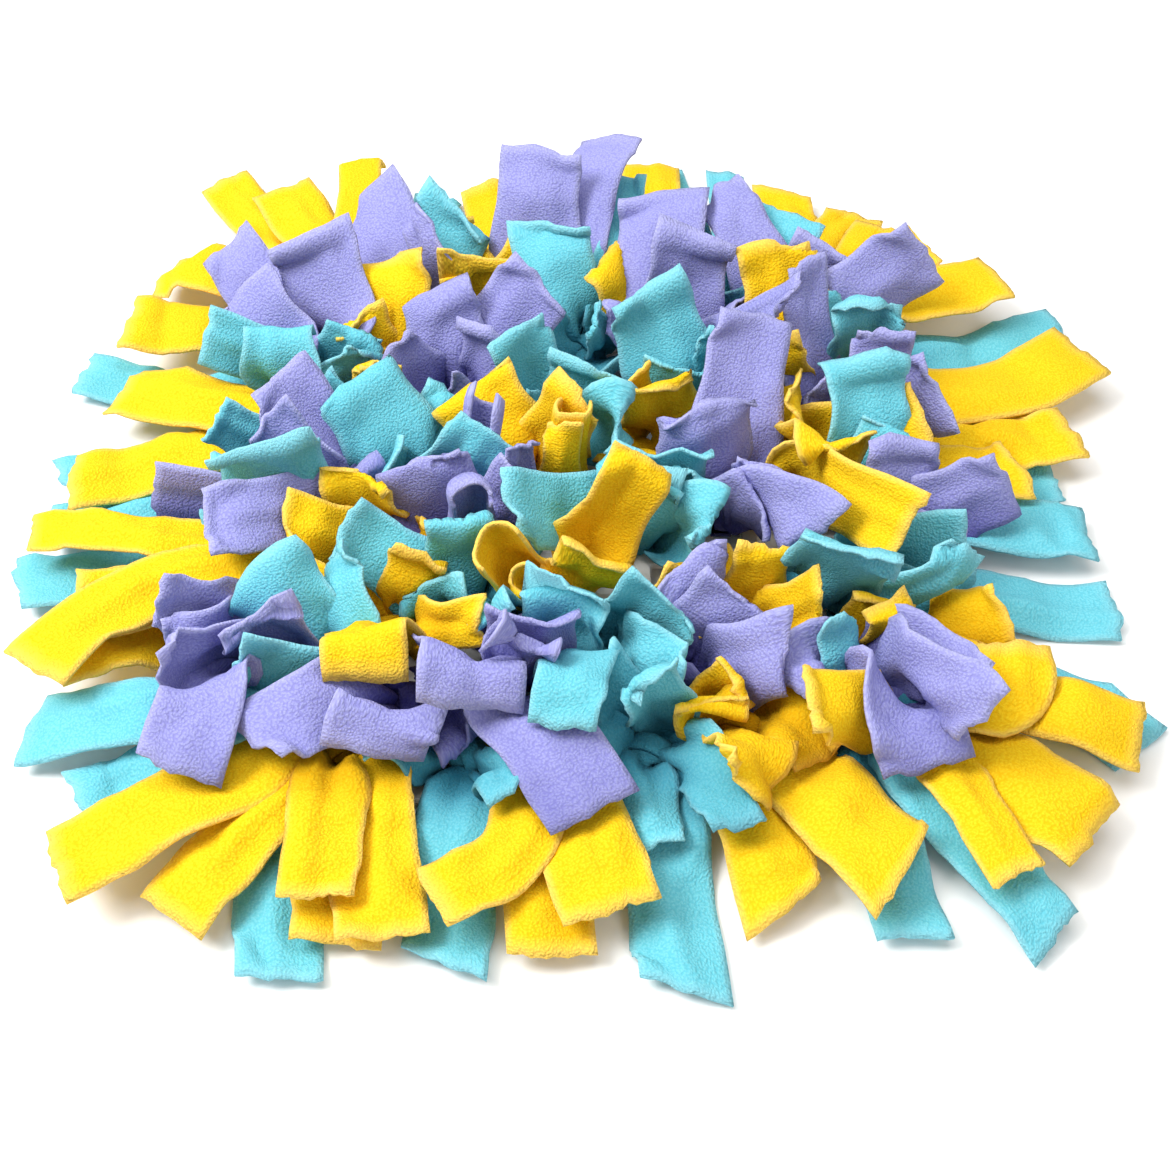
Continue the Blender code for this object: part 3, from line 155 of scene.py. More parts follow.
# each tuft: its knot in half grid steps from the middle, its ends on the floor and its raised ends.
# an end: where its tip is and its width in mm, then its layer, or its arch in mm and its curl (0 to 3),
# and, where it bends to a side or its broad side is turned, how many degrees
chart = {
    'yellow_01': (-8, -11, [(-99, -229, 38, 1), (-79, -231, 38, 1), (-104, -217, 32, 2),
        (-161, -217, 34, 1), (-209, -203, 38, 1)], []),
    'yellow_02': (-2, -11, [(-13, -233, 36, 1), (11, -222, 42, 1), (-54, -227, 30, 2, 38)], [
        (-41, -142, 34, 32, 22, 0), (-59, -161, 28, 22, 14, 0)]),
    'yellow_03': (5, -10, [(79, -220, 36, 1), (128, -213, 44, 1)], [(94, -149, 25, 34, 20, 1),
        (81, -164, 23, 34, 14, 1), (52, -152, 27, 26, 18, 2)]),
    'yellow_04': (11, -10, [(202, -186, 44, 1), (168, -209, 24, 2)], []),
    'yellow_05': (-7, -6, [], [(-67, -53, 52, 24, 8, 2), (-38, -94, 44, 22, 12, 0, 20),
        (-91, -126, 42, 36, 34, 0)]),
    'yellow_06': (5, -6, [], [(76, -59, 52, 26, 8, 0), (23, -74, 40, 36, 8, 0), (50, -129, 42, 32, 20, 1),
        (66, -147, 29, 30, 26, 2)]),
    'yellow_07': (11, -6, [(232, -135, 36, 1, -12), (202, -103, 36, 2, -70)], [(133, -77, 42, 28, 12, 0),
        (123, -102, 40, 20, 8, 0)]),
    'yellow_08': (-11, -4, [(-233, -142, 36, 1), (-232, -99, 36, 1), (-245, -91, 38, 1, 20),
        (-256, -23, 24, 1)], []),
    'yellow_09': (-1, -4, [], [(-10, -57, 62, 22, 14, 3), (-42, -68, 66, 24, 6, 3),
        (6, -75, 52, 34, 14, 0), (16, -21, 74, 32, 6, 1)]),
    'yellow_10': (-7, -2, [], [(-125, -45, 50, 30, 10, 1), (-106, -20, 58, 34, 10, 1)]),
    'yellow_11': (-2, 1, [], [(1, 33, 56, 30, 30, 1), (1, 15, 66, 20, 6, 3), (-14, 11, 62, 18, 6, 0, 40),
        (-59, 44, 58, 44, 14, 1)]),
    'yellow_12': (7, 2, [], [(82, 34, 64, 40, 8, 0), (117, -3, 62, 38, 10, 0), (116, -37, 58, 34, 12, 0)]),
    'yellow_13': (11, 2, [(227, 66, 26, 1), (240, 49, 34, 1), (214, 19, 36, 1)], [
        (163, 26, 48, 36, 8, 0)]),
    'yellow_14': (2, 3, [], [(31, 39, 68, 38, 8, 1), (21, 65, 58, 26, 8, 1)]),
    'yellow_15': (-9, 4, [(-249, 13, 36, 1), (-232, 81, 38, 1)], [(-102, 63, 52, 24, 8, 0)]),
    'yellow_16': (-8, 7, [], [(-120, 106, 45, 34, 8, 0), (-99, 134, 52, 44, 12, 0)]),
    'yellow_17': (8, 7, [(239, 112, 42, 1)], [(93, 129, 62, 42, 10, 0), (98, 103, 45, 24, 8, 0),
        (90, 71, 52, 32, 8, 0)]),
    'yellow_18': (-10, 11, [(-246, 120, 40, 1), (-234, 180, 40, 1), (-216, 276, 30, 1), (-171, 228, 36, 1),
        (-131, 281, 24, 1)], []),
    'yellow_19': (-4, 11, [(-65, 273, 30, 1)], [(-90, 178, 52, 34, 8, 1), (-54, 128, 55, 44, 10, 0),
        (-22, 164, 48, 32, 8, 0)]),
    'yellow_20': (2, 11, [(36, 287, 36, 1)], [(16, 199, 40, 30, 8, 0), (7, 149, 46, 18, 8, 0),
        (26, 150, 46, 20, 8, 2), (27, 125, 46, 38, 8, 0)]),
    'yellow_21': (10, 11, [(113, 271, 34, 1), (151, 236, 36, 1), (166, 214, 34, 1), (190, 192, 36, 1),
        (224, 156, 40, 1)], []),
    'turquoise_01': (-4, -11, [(-55, -243, 36, 0)], [(-17, -177, 24, 24, 16, 0),
        (-119, -154, 29, 32, 22, 1)]),
    'turquoise_02': (2, -11, [(37, -255, 37, 0), (29, -193, 24, 0)], [(-51, -162, 29, 34, 20, 1),
        (65, -181, 25, 24, 18, 0)]),
    'turquoise_03': (-11, -10, [(-119, -244, 36, 0), (-142, -185, 24, 0), (-214, -162, 32, 0),
        (-248, -127, 34, 0)], [(-177, -111, 32, 24, 16, 2)]),
    'turquoise_04': (9, -10, [(128, -231, 30, 0), (183, -224, 30, 0), (232, -166, 34, 0)], [
        (98, -151, 24, 26, 16, 0)]),
    'turquoise_05': (-9, -8, [], [(-136, -69, 50, 42, 14, 2), (-171, -99, 46, 22, 20, 0, 55),
        (-77, -84, 58, 22, 10, 0), (-151, -132, 34, 26, 18, 0), (-118, -143, 31, 30, 24, 0)]),
    'turquoise_06': (0, -7, [], [(-10, -96, 60, 34, 10, 2), (19, -72, 54, 28, 14, 0),
        (39, -131, 34, 40, 24, 1), (-3, -141, 34, 30, 22, 0), (38, -92, 60, 36, 10, 2)]),
    'turquoise_07': (-4, -5, [], [(-55, -54, 64, 30, 8, 1), (-29, -92, 52, 24, 16, 0, 60)]),
    'turquoise_08': (9, -4, [(243, -56, 34, 0)], [(171, -46, 38, 36, 16, 0), (111, -79, 60, 44, 10, 0),
        (147, -89, 38, 24, 12, 0), (168, -79, 34, 24, 10, 0)]),
    'turquoise_09': (-11, -2, [(-268, -41, 38, 0)], [(-141, -7, 64, 46, 12, 2),
        (-188, -38, 30, 38, 20, 0)]),
    'turquoise_10': (2, -1, [], [(-37, -44, 60, 36, 16, 0), (7, -5, 60, 20, 8, 0, 50),
        (35, -8, 66, 38, 10, 2), (53, -14, 58, 22, 8, 0), (56, -48, 60, 34, 12, 0),
        (33, -54, 68, 30, 8, 0)]),
    'turquoise_11': (11, 0, [(230, 25, 30, 0), (240, -15, 38, 0)], [(118, 48, 55, 38, 14, 1),
        (136, 9, 50, 28, 10, 0), (141, 4, 45, 26, 8, 0)]),
    'turquoise_12': (-6, 1, [], [(-114, 43, 62, 44, 16, 1), (-62, -23, 58, 34, 10, 0)]),
    'turquoise_13': (-11, 2, [(-255, -8, 30, 0)], [(-132, 39, 60, 30, 12, 2), (-193, 34, 29, 24, 14, 0)]),
    'turquoise_14': (-1, 4, [], [(22, 26, 58, 36, 10, 0), (0, 65, 50, 36, 8, 0),
        (-34, 75, 60, 36, 10, 1)]),
    'turquoise_15': (4, 5, [], [(28, 100, 62, 44, 12, 0), (45, 62, 58, 34, 10, 0)]),
    'turquoise_16': (-11, 6, [(-260, 27, 28, 0), (-264, 104, 32, 0)], [(-135, 106, 45, 32, 8, 0),
        (-105, 76, 50, 26, 12, 0, 50), (-176, 68, 42, 34, 10, 0), (-189, 100, 38, 30, 10, 0)]),
    'turquoise_17': (11, 8, [(255, 141, 34, 0), (214, 63, 26, 0)], [(107, 113, 46, 22, 8, 0, 20),
        (136, 85, 62, 34, 10, 2)]),
    'turquoise_18': (0, 9, [], [(-36, 177, 55, 42, 10, 0), (-9, 154, 46, 20, 8, 0, 20),
        (11, 186, 46, 28, 8, 0)]),
    'turquoise_19': (-8, 11, [(-169, 255, 28, 0), (-88, 260, 28, 0)], [(-117, 149, 50, 30, 10, 1),
        (-108, 174, 40, 24, 10, 0), (-67, 186, 55, 44, 10, 0)]),
    'turquoise_20': (6, 11, [(45, 291, 22, 0), (81, 282, 22, 0)], [(107, 175, 58, 40, 10, 0),
        (44, 170, 46, 38, 8, 0)]),
    'lavender_01': (-6, -9, [], [(-86, -161, 34, 46, 26, 0), (-68, -167, 27, 36, 20, 0),
        (-115, -179, 26, 36, 24, 0)]),
    'lavender_02': (-11, -8, [], [(-163, -162, 24, 36, 24, 0), (-182, -129, 30, 34, 20, 2),
        (-129, -133, 46, 28, 30, 0), (-112, -96, 54, 36, 10, 1), (-117, -136, 42, 22, 26, 0),
        (-132, -163, 24, 22, 16, 2)]),
    'lavender_03': (-3, -8, [], [(-22, -107, 66, 34, 8, 2), (-13, -146, 40, 26, 26, 2),
        (-54, -143, 36, 44, 34, 0), (2, -173, 26, 40, 24, 0)]),
    'lavender_04': (3, -8, [], [(68, -92, 55, 46, 16, 0), (91, -111, 48, 36, 12, 0),
        (42, -141, 29, 28, 24, 1), (15, -143, 28, 26, 16, 0)]),
    'lavender_05': (9, -8, [], [(98, -134, 30, 34, 26, 0), (140, -130, 48, 34, 18, 1),
        (164, -126, 30, 38, 20, 0), (139, -168, 30, 42, 24, 0), (124, -180, 24, 30, 20, 1)]),
    'lavender_06': (-11, -6, [], [(-80, -55, 34, 34, 8, 0), (-190, -75, 40, 26, 12, 1),
        (-183, -104, 34, 32, 18, 0), (-147, -69, 54, 34, 10, 1)]),
    'lavender_07': (11, -2, [], [(190, -6, 40, 38, 22, 0), (145, -2, 50, 36, 10, 0),
        (176, -45, 27, 32, 14, 0)]),
    'lavender_08': (-4, -1, [], [(-53, 5, 66, 24, 6, 3), (-26, -11, 62, 20, 8, 1, 50),
        (-78, -11, 62, 44, 10, 1), (-51, -43, 68, 22, 6, 3), (-20, -43, 64, 34, 14, 1)]),
    'lavender_09': (-9, 0, [], [(-148, 42, 58, 38, 10, 0), (-165, 34, 50, 28, 8, 0, 30),
        (-189, -18, 38, 40, 14, 0)]),
    'lavender_10': (5, 0, [], [(76, 74, 68, 40, 10, 0), (106, -44, 45, 34, 34, 0), (75, -30, 46, 36, 8, 0),
        (55, 17, 62, 42, 12, 2), (79, -11, 56, 24, 8, 2)]),
    'lavender_11': (10, 5, [], [(123, 105, 62, 26, 6, 0), (128, 104, 60, 16, 6, 0, 40),
        (154, 118, 50, 42, 14, 0), (143, 75, 60, 30, 8, 0), (166, 35, 58, 44, 12, 1)]),
    'lavender_12': (-5, 6, [], [(-19, 116, 66, 42, 8, 0), (-75, 107, 52, 38, 12, 1),
        (-99, 76, 50, 30, 12, 0, 30), (-48, 85, 52, 28, 10, 2, -30)]),
    'lavender_13': (-11, 8, [], [(-188, 159, 45, 34, 12, 0), (-158, 172, 40, 34, 12, 0),
        (-177, 117, 55, 40, 10, 0), (-162, 131, 58, 24, 10, 0), (-134, 149, 52, 42, 10, 1),
        (-194, 57, 34, 26, 10, 0)]),
    'lavender_14': (3, 8, [], [(43, 187, 55, 46, 16, 0), (49, 138, 64, 40, 12, 1),
        (9, 104, 50, 20, 6, 0, 30)]),
    'lavender_15': (-6, 9, [], [(-120, 192, 48, 42, 10, 0), (-109, 185, 40, 26, 10, 0)]),
    'lavender_16': (8, 9, [], [(82, 194, 52, 30, 10, 0), (126, 155, 50, 34, 10, 0),
        (74, 115, 48, 24, 8, 0)]),
    'lavender_17': (-2, 11, [], [(-23, 198, 78, 44, 12, 0, -8), (-3, 192, 76, 40, 14, 1, 10)]),
}
tufts = {name: Tuft(across, along, [Floor(*end) for end in floor], [Raised(*end) for end in raised])
         for name, (across, along, floor, raised) in chart.items()}


def knotPlace(tuft):
    step = gridMat['pitch'] / 2
    return Vector((tuft.across * step, tuft.along * step, 0.0)), tuft.across % 2 == 0


def heading(degrees):
    angle = math.radians(degrees)
    return Vector((math.cos(angle), math.sin(angle), 0.0))


def degreesOf(x, y):
    return math.degrees(math.atan2(y, x))


def turnBetween(a, b):
    return abs((a - b + 180) % 360 - 180)


# turns headings away from each other until they are at least so many degrees apart
def spread(headings, least):
    order = sorted(range(len(headings)), key=lambda i: headings[i])
    turned = [headings[i] for i in order]
    count = len(turned)
    for again in range(300):
        moved = False
        for i in range(count if count > 1 else 0):
            j = (i + 1) % count
            gap = turned[j] - turned[i] + (360.0 if j == 0 else 0.0)
            if gap < least - 0.01:
                push = (least - gap) * 0.5
                turned[i] -= push
                turned[j] += push
                moved = True
        if not moved:
            break
    return [turned[order.index(i)] for i in range(count)]


# one end of a strip as a plain solid: its sections with their side directions, half widths and thicknesses
class Strip:

    def __init__(self, middles, sides, sizes, skew, steps, curve=None, plan=None, spans=()):
        self.middles, self.skew, self.steps = middles, skew, steps
        self.halves, self.thicks = sizes
        self.curve, self.plan, self.spans = curve, plan, spans
        self.sides = [sides[0]]
        self.ups = [Vector((0.0, 0.0, 1.0))]
        last = len(middles) - 1
        for i in range(1, last + 1):
            ahead = (middles[min(i + 1, last)] - middles[i - 1]).normalized()
            side = (sides[i] - ahead * sides[i].dot(ahead)).normalized()
            before = (self.sides[-1] - ahead * self.sides[-1].dot(ahead)).normalized()
            if side.dot(before) < 0:
                side = -side
            twist = math.atan2(before.cross(side).dot(ahead), before.dot(side))
            most = math.radians(cloth['mostTwist'] if i > 1 else cloth['firstTwist'])
            twist = max(-most, min(most, twist))
            side = before * math.cos(twist) + ahead.cross(before) * math.sin(twist)
            self.sides.append(side)
            self.ups.append(side.cross(ahead).normalized())

    def corners(self, grow=0.0):
        points = []
        last = len(self.middles) - 1
        for i, middle in enumerate(self.middles):
            across = self.sides[i] * (self.halves[i] + grow)
            through = self.ups[i] * (self.thicks[i] / 2 + grow)
            tilt = (middle - self.middles[i - 1]) * (self.skew if i == last else 0.0)
            points += [middle - across - through - tilt, middle + across - through + tilt,
                       middle + across + through + tilt, middle - across + through - tilt]
        return points

    def faces(self, first=0, rooted=False):
        end = 4 * (len(self.middles) - 1)
        faces = [] if rooted else [(0, 2, 1), (0, 3, 2)]
        for a in range(end):
            b = a + 1 if a % 4 < 3 else a - 3
            # the two broad faces are split the same way, so that a twist can't bring them together
            if a % 4 == 2:
                faces += [(a, b, a + 4), (b, b + 4, a + 4)]
            else:
                faces += [(a, b, b + 4), (a, b + 4, a + 4)]
        faces += [(end, end + 1, end + 2), (end, end + 2, end + 3)]
        return [tuple(corner + first for corner in face) for face in faces]


def treeAndBox(points, faces):
    low = [min(p[k] for p in points) for k in range(3)]
    high = [max(p[k] for p in points) for k in range(3)]
    return BVHTree.FromPolygons(points, faces), (low, high)


def crossesItself(points, faces):
    tree = BVHTree.FromPolygons(points, faces)
    return any(not set(faces[a]) & set(faces[b]) for a, b in tree.overlap(tree))


def apart(boxA, boxB):
    return any(boxA[1][k] < boxB[0][k] or boxB[1][k] < boxA[0][k] for k in range(3))


def bezier(a, b, c, d, t):
    u = 1 - t
    return a * u ** 3 + b * 3 * u * u * t + c * 3 * u * t * t + d * t ** 3


def rootOf(knot, way):
    return knot + way * knotSize['radius'] + Vector((0.0, 0.0, knotSize['middle']))


def rightOf(way):
    return Vector((way.y, -way.x, 0.0)).normalized()


# half widths and thicknesses of the sections of a strip that opens from its pinch
def sizesOf(opens, width):
    pinch, thick = cloth['pinchWidth'], cloth['pinchThick']
    return ([(pinch + (width - pinch) * opened) / 2 for opened in opens],
            [thick + (cloth['thick'] - thick) * min(1.0, 2 * opened) for opened in opens])


def raisedStrip(knot, way, end, tip, turn, arch, width):
    root = rootOf(knot, way)
    flat = Vector((tip.x - root.x, tip.y - root.y, 0.0))
    span = (tip - root).length
    rise = max(tip.z - root.z, 0.0)
    # cloth can't bend in its own plane, so an end that runs across the view, broad side on, goes straighter
    sideways = (flat.x / max(flat.length, 0.001)) ** 2
    bow = 1.0 - rising['straighter'] * sideways
    first = root + way * rising['leave'] + flat * rising['firstAlong']
    lift = (rising['firstSpan'] * span + rising['firstArch'] * arch) * bow
    first.z += lift + rising['firstRise'] * rise * sideways
    second = root + flat * rising['secondAlong']
    second.z += rise * (rising['secondRise'] - 0.10 * sideways) + rising['secondArch'] * arch * bow
    steps, opens = sections['short' if end.short else 'wide' if width > cloth['wide'] else 'narrow']
    last = len(steps) - 1
    middles = [bezier(root, first, second, tip, t) for t in steps]
    sides = [rightOf(way)]
    for i in range(1, last + 1):
        ahead = (middles[min(i + 1, last)] - middles[i - 1]).normalized()
        side = ahead.cross(cloth['facing'])
        if side.length < 0.4:                # it runs the way it should face
            side = side + Vector((0.5, 0.0, 0.0))
        side.normalize()
        lean = math.radians(turn + cloth['unevenTurn'] * math.sin(13.0 * end.tipX + 5.0 * end.tipY))
        lean *= min(1.0, 0.3 + steps[i])
        sides.append(side * math.cos(lean) + ahead.cross(side) * math.sin(lean))
    skew = cloth['skew'][0] * math.sin(37.0 * end.tipX + 11.0 * end.tipY)
    return Strip(middles, sides, sizesOf(opens, width), skew, steps, curve=(root, first, second, tip))


# how high the mat and the ends laid on it reach, in small cells
class Ground:

    def __init__(self):
        reach = int((gridMat['side'] / 2 + 0.0015) / laying['cell']) + 1
        cells = range(-reach, reach + 1)
        self.heights = {(i, j): gridMat['top'] for i in cells for j in cells}

    def cells(self, a, b, side, half):
        along = max(2, int((b - a).length / (laying['cell'] * 0.6)))
        wide = max(2, int(2 * half / (laying['cell'] * 0.6)))
        spots = [a + (b - a) * (i / along) + side * half * (2 * j / wide - 1)
                 for i in range(along + 1) for j in range(wide + 1)]
        return {(math.floor(p.x / laying['cell']), math.floor(p.y / laying['cell'])) for p in spots}

    def highest(self, cells):
        return max(self.heights.get(cell, 0.0) for cell in cells)

    def cover(self, cells, top):
        for cell in cells:
            self.heights[cell] = max(self.heights.get(cell, 0.0), top)


# the middle line of an end on the floor, which bends evenly
def lieAt(plan, t):
    root, flat, bulge = plan
    return root + flat * t + bulge * 4 * t * (1 - t)


def floorStrip(ground, knot, way, end, tip, bend, width):
    root = rootOf(knot, way)
    root.z = 0.0
    flat = tip - root
    plan = (root, flat, Vector((-flat.y, flat.x, 0.0)) * math.tan(math.radians(bend)) * 0.5)
    steps, opens = sections['floor']
    last = len(steps) - 1
    middles = [lieAt(plan, t) for t in steps]
    middles[1] = middles[1] + (way * flat.length * cloth['leave'] - flat * cloth['leave']) * 0.5
    halves, thicks = sizes = sizesOf(opens, width)
    sides = [rightOf(way)]
    sides += [rightOf(middles[min(i + 1, last)] - middles[i - 1]) for i in range(1, last + 1)]
    spans = [ground.cells(middles[i], middles[i + 1], (sides[i] + sides[i + 1]).normalized(),
                          max(halves[i], halves[i + 1]) + 0.001) for i in range(last)]
    tops = [ground.highest(span) for span in spans]
    beds = [0.0]
    for i in range(1, last + 1):
        under = max(tops[i - 1], tops[min(i, last - 1)])
        beds.append(under + cloth['clear'] if under > 0 else 0.0)
        middles[i].z = beds[i] + thicks[i] / 2
    middles[0].z = knotSize['middle']
    skew = cloth['skew'][1] * math.sin(23.0 * end.tipX + 7.0 * end.tipY)
    # a section that leans with the twist is lifted until its lower edge lies on its bed
    for again in range(3):
        corners = Strip(middles, sides, sizes, skew, steps).corners()
        for i in range(1, last + 1):
            middles[i].z += max(0.0, beds[i] - min(corners[4 * i + k].z for k in range(4)))
    return Strip(middles, sides, sizes, skew, steps, plan=plan, spans=spans)


# a plain eight-sided block round a knot's head
def headBlock(tuft, above):
    knot, alongX = knotPlace(tuft)
    over = knotSize['blockOver']
    reach = knotSize['radius'] + over
    points = [knot + Vector((math.cos(k * math.pi / 4) * reach, math.sin(k * math.pi / 4) * reach, z))
              for z in (knotSize['foot'] - over, knotSize['top'] + above) for k in range(8)]
    faces = [tuple(range(8)), tuple(range(8, 16))]
    faces += [(k, (k + 1) % 8, (k + 1) % 8 + 8, k + 8) for k in range(8)]
    return points, faces


# a knot's head with its strips as one plain mesh, to see whether any of them cross each other or the head
def knotMesh(tuft, ends):
    knot = knotPlace(tuft)[0]
    points, faces, rooted = [], [], set()
    lower, upper = [], []
    for way, strip, end in sorted(ends, key=lambda item: math.atan2(item[0].y, item[0].x)):
        first = len(points)
        points += strip.corners()
        faces += strip.faces(first, True)
        # the strip's left side comes first when going round the head against the clock
        lower += [first + 1, first]
        upper += [first + 2, first + 3]
        rooted.add((first + 1, first))

    def bearing(index):
        return math.atan2(points[index].y - knot.y, points[index].x - knot.x) % (2 * math.pi)

    # wide gaps between strips get points of their own, so that the head stays round
    rim, over = [], []
    for i in range(len(lower)):
        rim.append(lower[i])
        over.append(upper[i])
        if i % 2 == 0:
            continue
        start = bearing(lower[i])
        gap = (bearing(lower[(i + 1) % len(lower)]) - start) % (2 * math.pi)
        more = int(gap / math.radians(knotSize['openGap']))
        for k in range(1, more + 1):
            angle = start + gap * k / (more + 1)
            for row, height in ((rim, -cloth['pinchThick'] / 2), (over, cloth['pinchThick'] / 2)):
                row.append(len(points))
                points.append(knot + Vector((math.cos(angle) * knotSize['radius'],
                                             math.sin(angle) * knotSize['radius'],
                                             knotSize['middle'] + height)))
    apex = len(points)
    points.append(knot + Vector((0.0, 0.0, knotSize['top'])))
    for i in range(len(rim)):
        j = (i + 1) % len(rim)
        if (rim[i], rim[j]) not in rooted:
            faces += [(rim[i], rim[j], over[j]), (rim[i], over[j], over[i])]
        faces.append((over[i], over[j], apex))
    return points, faces


ground = Ground()
chance = random.Random(laying['seed'])
knots = {name: knotPlace(tuft)[0] for name, tuft in tufts.items()}
blocks = {name: treeAndBox(*headBlock(tuft, 0.0002)) for name, tuft in tufts.items()}
# while a knot has ends to come, the room over its head is kept free for them
rooms = {name: treeAndBox(*headBlock(tuft, knotSize['roomAbove'])) for name, tuft in tufts.items()}
waiting = {name: tuft.floor + tuft.raised for name, tuft in tufts.items()}
laid = {name: [] for name in tufts}
placed = []
ways = {}
for name, rows in waiting.items():
    bearings = [degreesOf(end.tipX * mm - knots[name].x, end.tipY * mm - knots[name].y) for end in rows]
    for end, bearing in zip(rows, spread(bearings, min(knotSize['leastApart'], 358.0 / len(rows)))):
        ways[(name, end)] = heading(bearing)


def keepIfClear(strip, owner, way, end):
    tree, box = treeAndBox(strip.corners(cloth['clear']), strip.faces())
    others = [rooms[name] if waiting[name] else blocks[name] for name in tufts if name != owner] + placed
    if any(not apart(box, otherBox) and tree.overlap(other) for other, otherBox in others):
        return False
    mine = laid[owner] + [(way, strip, end)]
    if crossesItself(strip.corners(), strip.faces()) or crossesItself(*knotMesh(tufts[owner], mine)):
        return False
    laid[owner] = mine
    placed.append(treeAndBox(strip.corners(), strip.faces()))
    return True


def strayed(end, reach):
    return Vector((end.tipX * mm + chance.uniform(-reach, reach),
                   end.tipY * mm + chance.uniform(-reach, reach), 0.0))


def layEnd(name, way, end, tries):
    for again in range(tries):
        play = min(1.0, again / laying['playTries'])
        tip = strayed(end, play * laying['lyingPlay'])
        bend = end.bend + chance.uniform(-1, 1) * laying['bendPlay'] * play
        strip = floorStrip(ground, knots[name], way, end, tip, bend, end.width * mm)
        over = max(abs(p.x) - laying['spread'] - laying['spreadSlope'] * p.y for p in strip.corners())
        if over > 0:
            tip.x -= math.copysign(over, tip.x)
            strip = floorStrip(ground, knots[name], way, end, tip, bend, end.width * mm)
        pairs = list(zip(strip.middles, strip.middles[1:]))
        if max(abs(b.z - a.z) / (b - a).length for a, b in pairs) >= laying['steepest']:
            continue
        if keepIfClear(strip, name, way, end):
            tops = [middle.z + thick / 2 for middle, thick in zip(strip.middles, strip.thicks)]
            for i, span in enumerate(strip.spans):
                ground.cover(span, max(tops[i], tops[i + 1]))
            return True
    return False


def raiseEnd(name, way, end, tries):
    for again in range(tries):
        play = min(1.0, again / (0.5 * tries))
        reach = laying['raisedPlay'] * play
        width = end.width * mm * (1.0 if again < 0.6 * tries else laying['narrower'])
        tip = strayed(end, reach)
        tip.z = max(laying['lowest'], end.tipZ * mm + chance.uniform(-0.6, 0.8) * reach)
        turn = end.turn + chance.uniform(-1, 1) * laying['turnPlay'] * play
        arch = max(0.0, end.arch * mm + chance.uniform(-0.3, 0.7) * reach)
        strip = raisedStrip(knots[name], way, end, tip, turn, arch, width)
        if min(p.z for p in strip.corners()) > gridMat['top'] + cloth['clear']:
            if keepIfClear(strip, name, way, end):
                return True
    return False


# the knots of the same colour near an end's tip, and the way it would leave each of them
def otherKnots(name, end, furthest):
    tip = Vector((end.tipX * mm, end.tipY * mm, 0.0))
    found = []
    for other in tufts:
        gap = (knots[other] - tip).length
        if other.split('_')[0] != name.split('_')[0] or gap > furthest:
            continue
        taken = [way for way, strip, mine in laid[other]] + [ways[(other, mine)] for mine in waiting[other]]
        taken = [degreesOf(way.x, way.y) for way in taken]
        wanted = degreesOf(tip.x - knots[other].x, tip.y - knots[other].y)
        for turn in laying['otherTurns']:
            if all(turnBetween(wanted + turn, t) >= knotSize['leastApart'] for t in taken):
                found.append((gap + abs(turn) * laying['turnCost'], other, heading(wanted + turn)))
                break
    return sorted(found, key=lambda item: item[:2])[:laying['otherKnots']]


# lays the charted ends in order, and one that finds no room at its own knot is tried at others near it
def layAll(lay, tries, moreTries, furthest, rows):
    missed, lost = [], 0
    for order, name, end in rows:
        if not lay(name, ways[(name, end)], end, tries):
            missed.append((name, end))
        waiting[name].remove(end)
    for name, end in missed:
        others = otherKnots(name, end, furthest)
        if any(lay(other, way, end, moreTries) for gap, other, way in others):
            continue
        low = Floor(end.tipX, end.tipY, min(end.width, laying['lowWidth']), 3)
        if lay == raiseEnd and end.tipZ < laying['lowTip']:
            if any(layEnd(other, way, low, moreTries) for gap, other, way in others):
                continue
        lost += 1
    print('ends laid', len(placed), 'no room for', lost)


lying = [(end.layer, name, end) for name, tuft in tufts.items() for end in tuft.floor]
standing = [(-end.width, name, end) for name, tuft in tufts.items() for end in tuft.raised]
layAll(layEnd, *laying['lyingTries'], laying['lyingReach'], sorted(lying, key=lambda item: item[0]))
layAll(raiseEnd, *laying['raisedTries'], laying['raisedReach'], sorted(standing, key=lambda item: item[:2]))

# short ends fill what is left open between the charted ones, most of them where few ends are
shorts = 0
for name in sorted(tufts, key=lambda name: (len(laid[name]), name)):
    degrees = chance.uniform(0, 360)
    for again in range(360 // laying['shortStep']):
        degrees = (degrees + laying['shortStep']) % 360
        nearest = min(turnBetween(degrees, degreesOf(way.x, way.y)) for way, strip, end in laid[name])
        if shorts >= laying['shortEnds'] or nearest < laying['shortApart']:
            continue
        reach = chance.uniform(*laying['shortReach'])
        stray = chance.uniform(-laying['shortStray'], laying['shortStray'])
        spot = knots[name] / mm + heading(degrees + stray) * reach
        rise = round(chance.uniform(*laying['shortRise']))
        end = Raised(round(spot.x), round(spot.y), rise, chance.randint(*laying['shortWidth']),
                     chance.randint(*laying['shortArch']), chance.choice(laying['shortCurls']), short=True)
        if raiseEnd(name, heading(degrees), end, laying['shortTries']):
            shorts += 1
print('short ends laid', shorts)


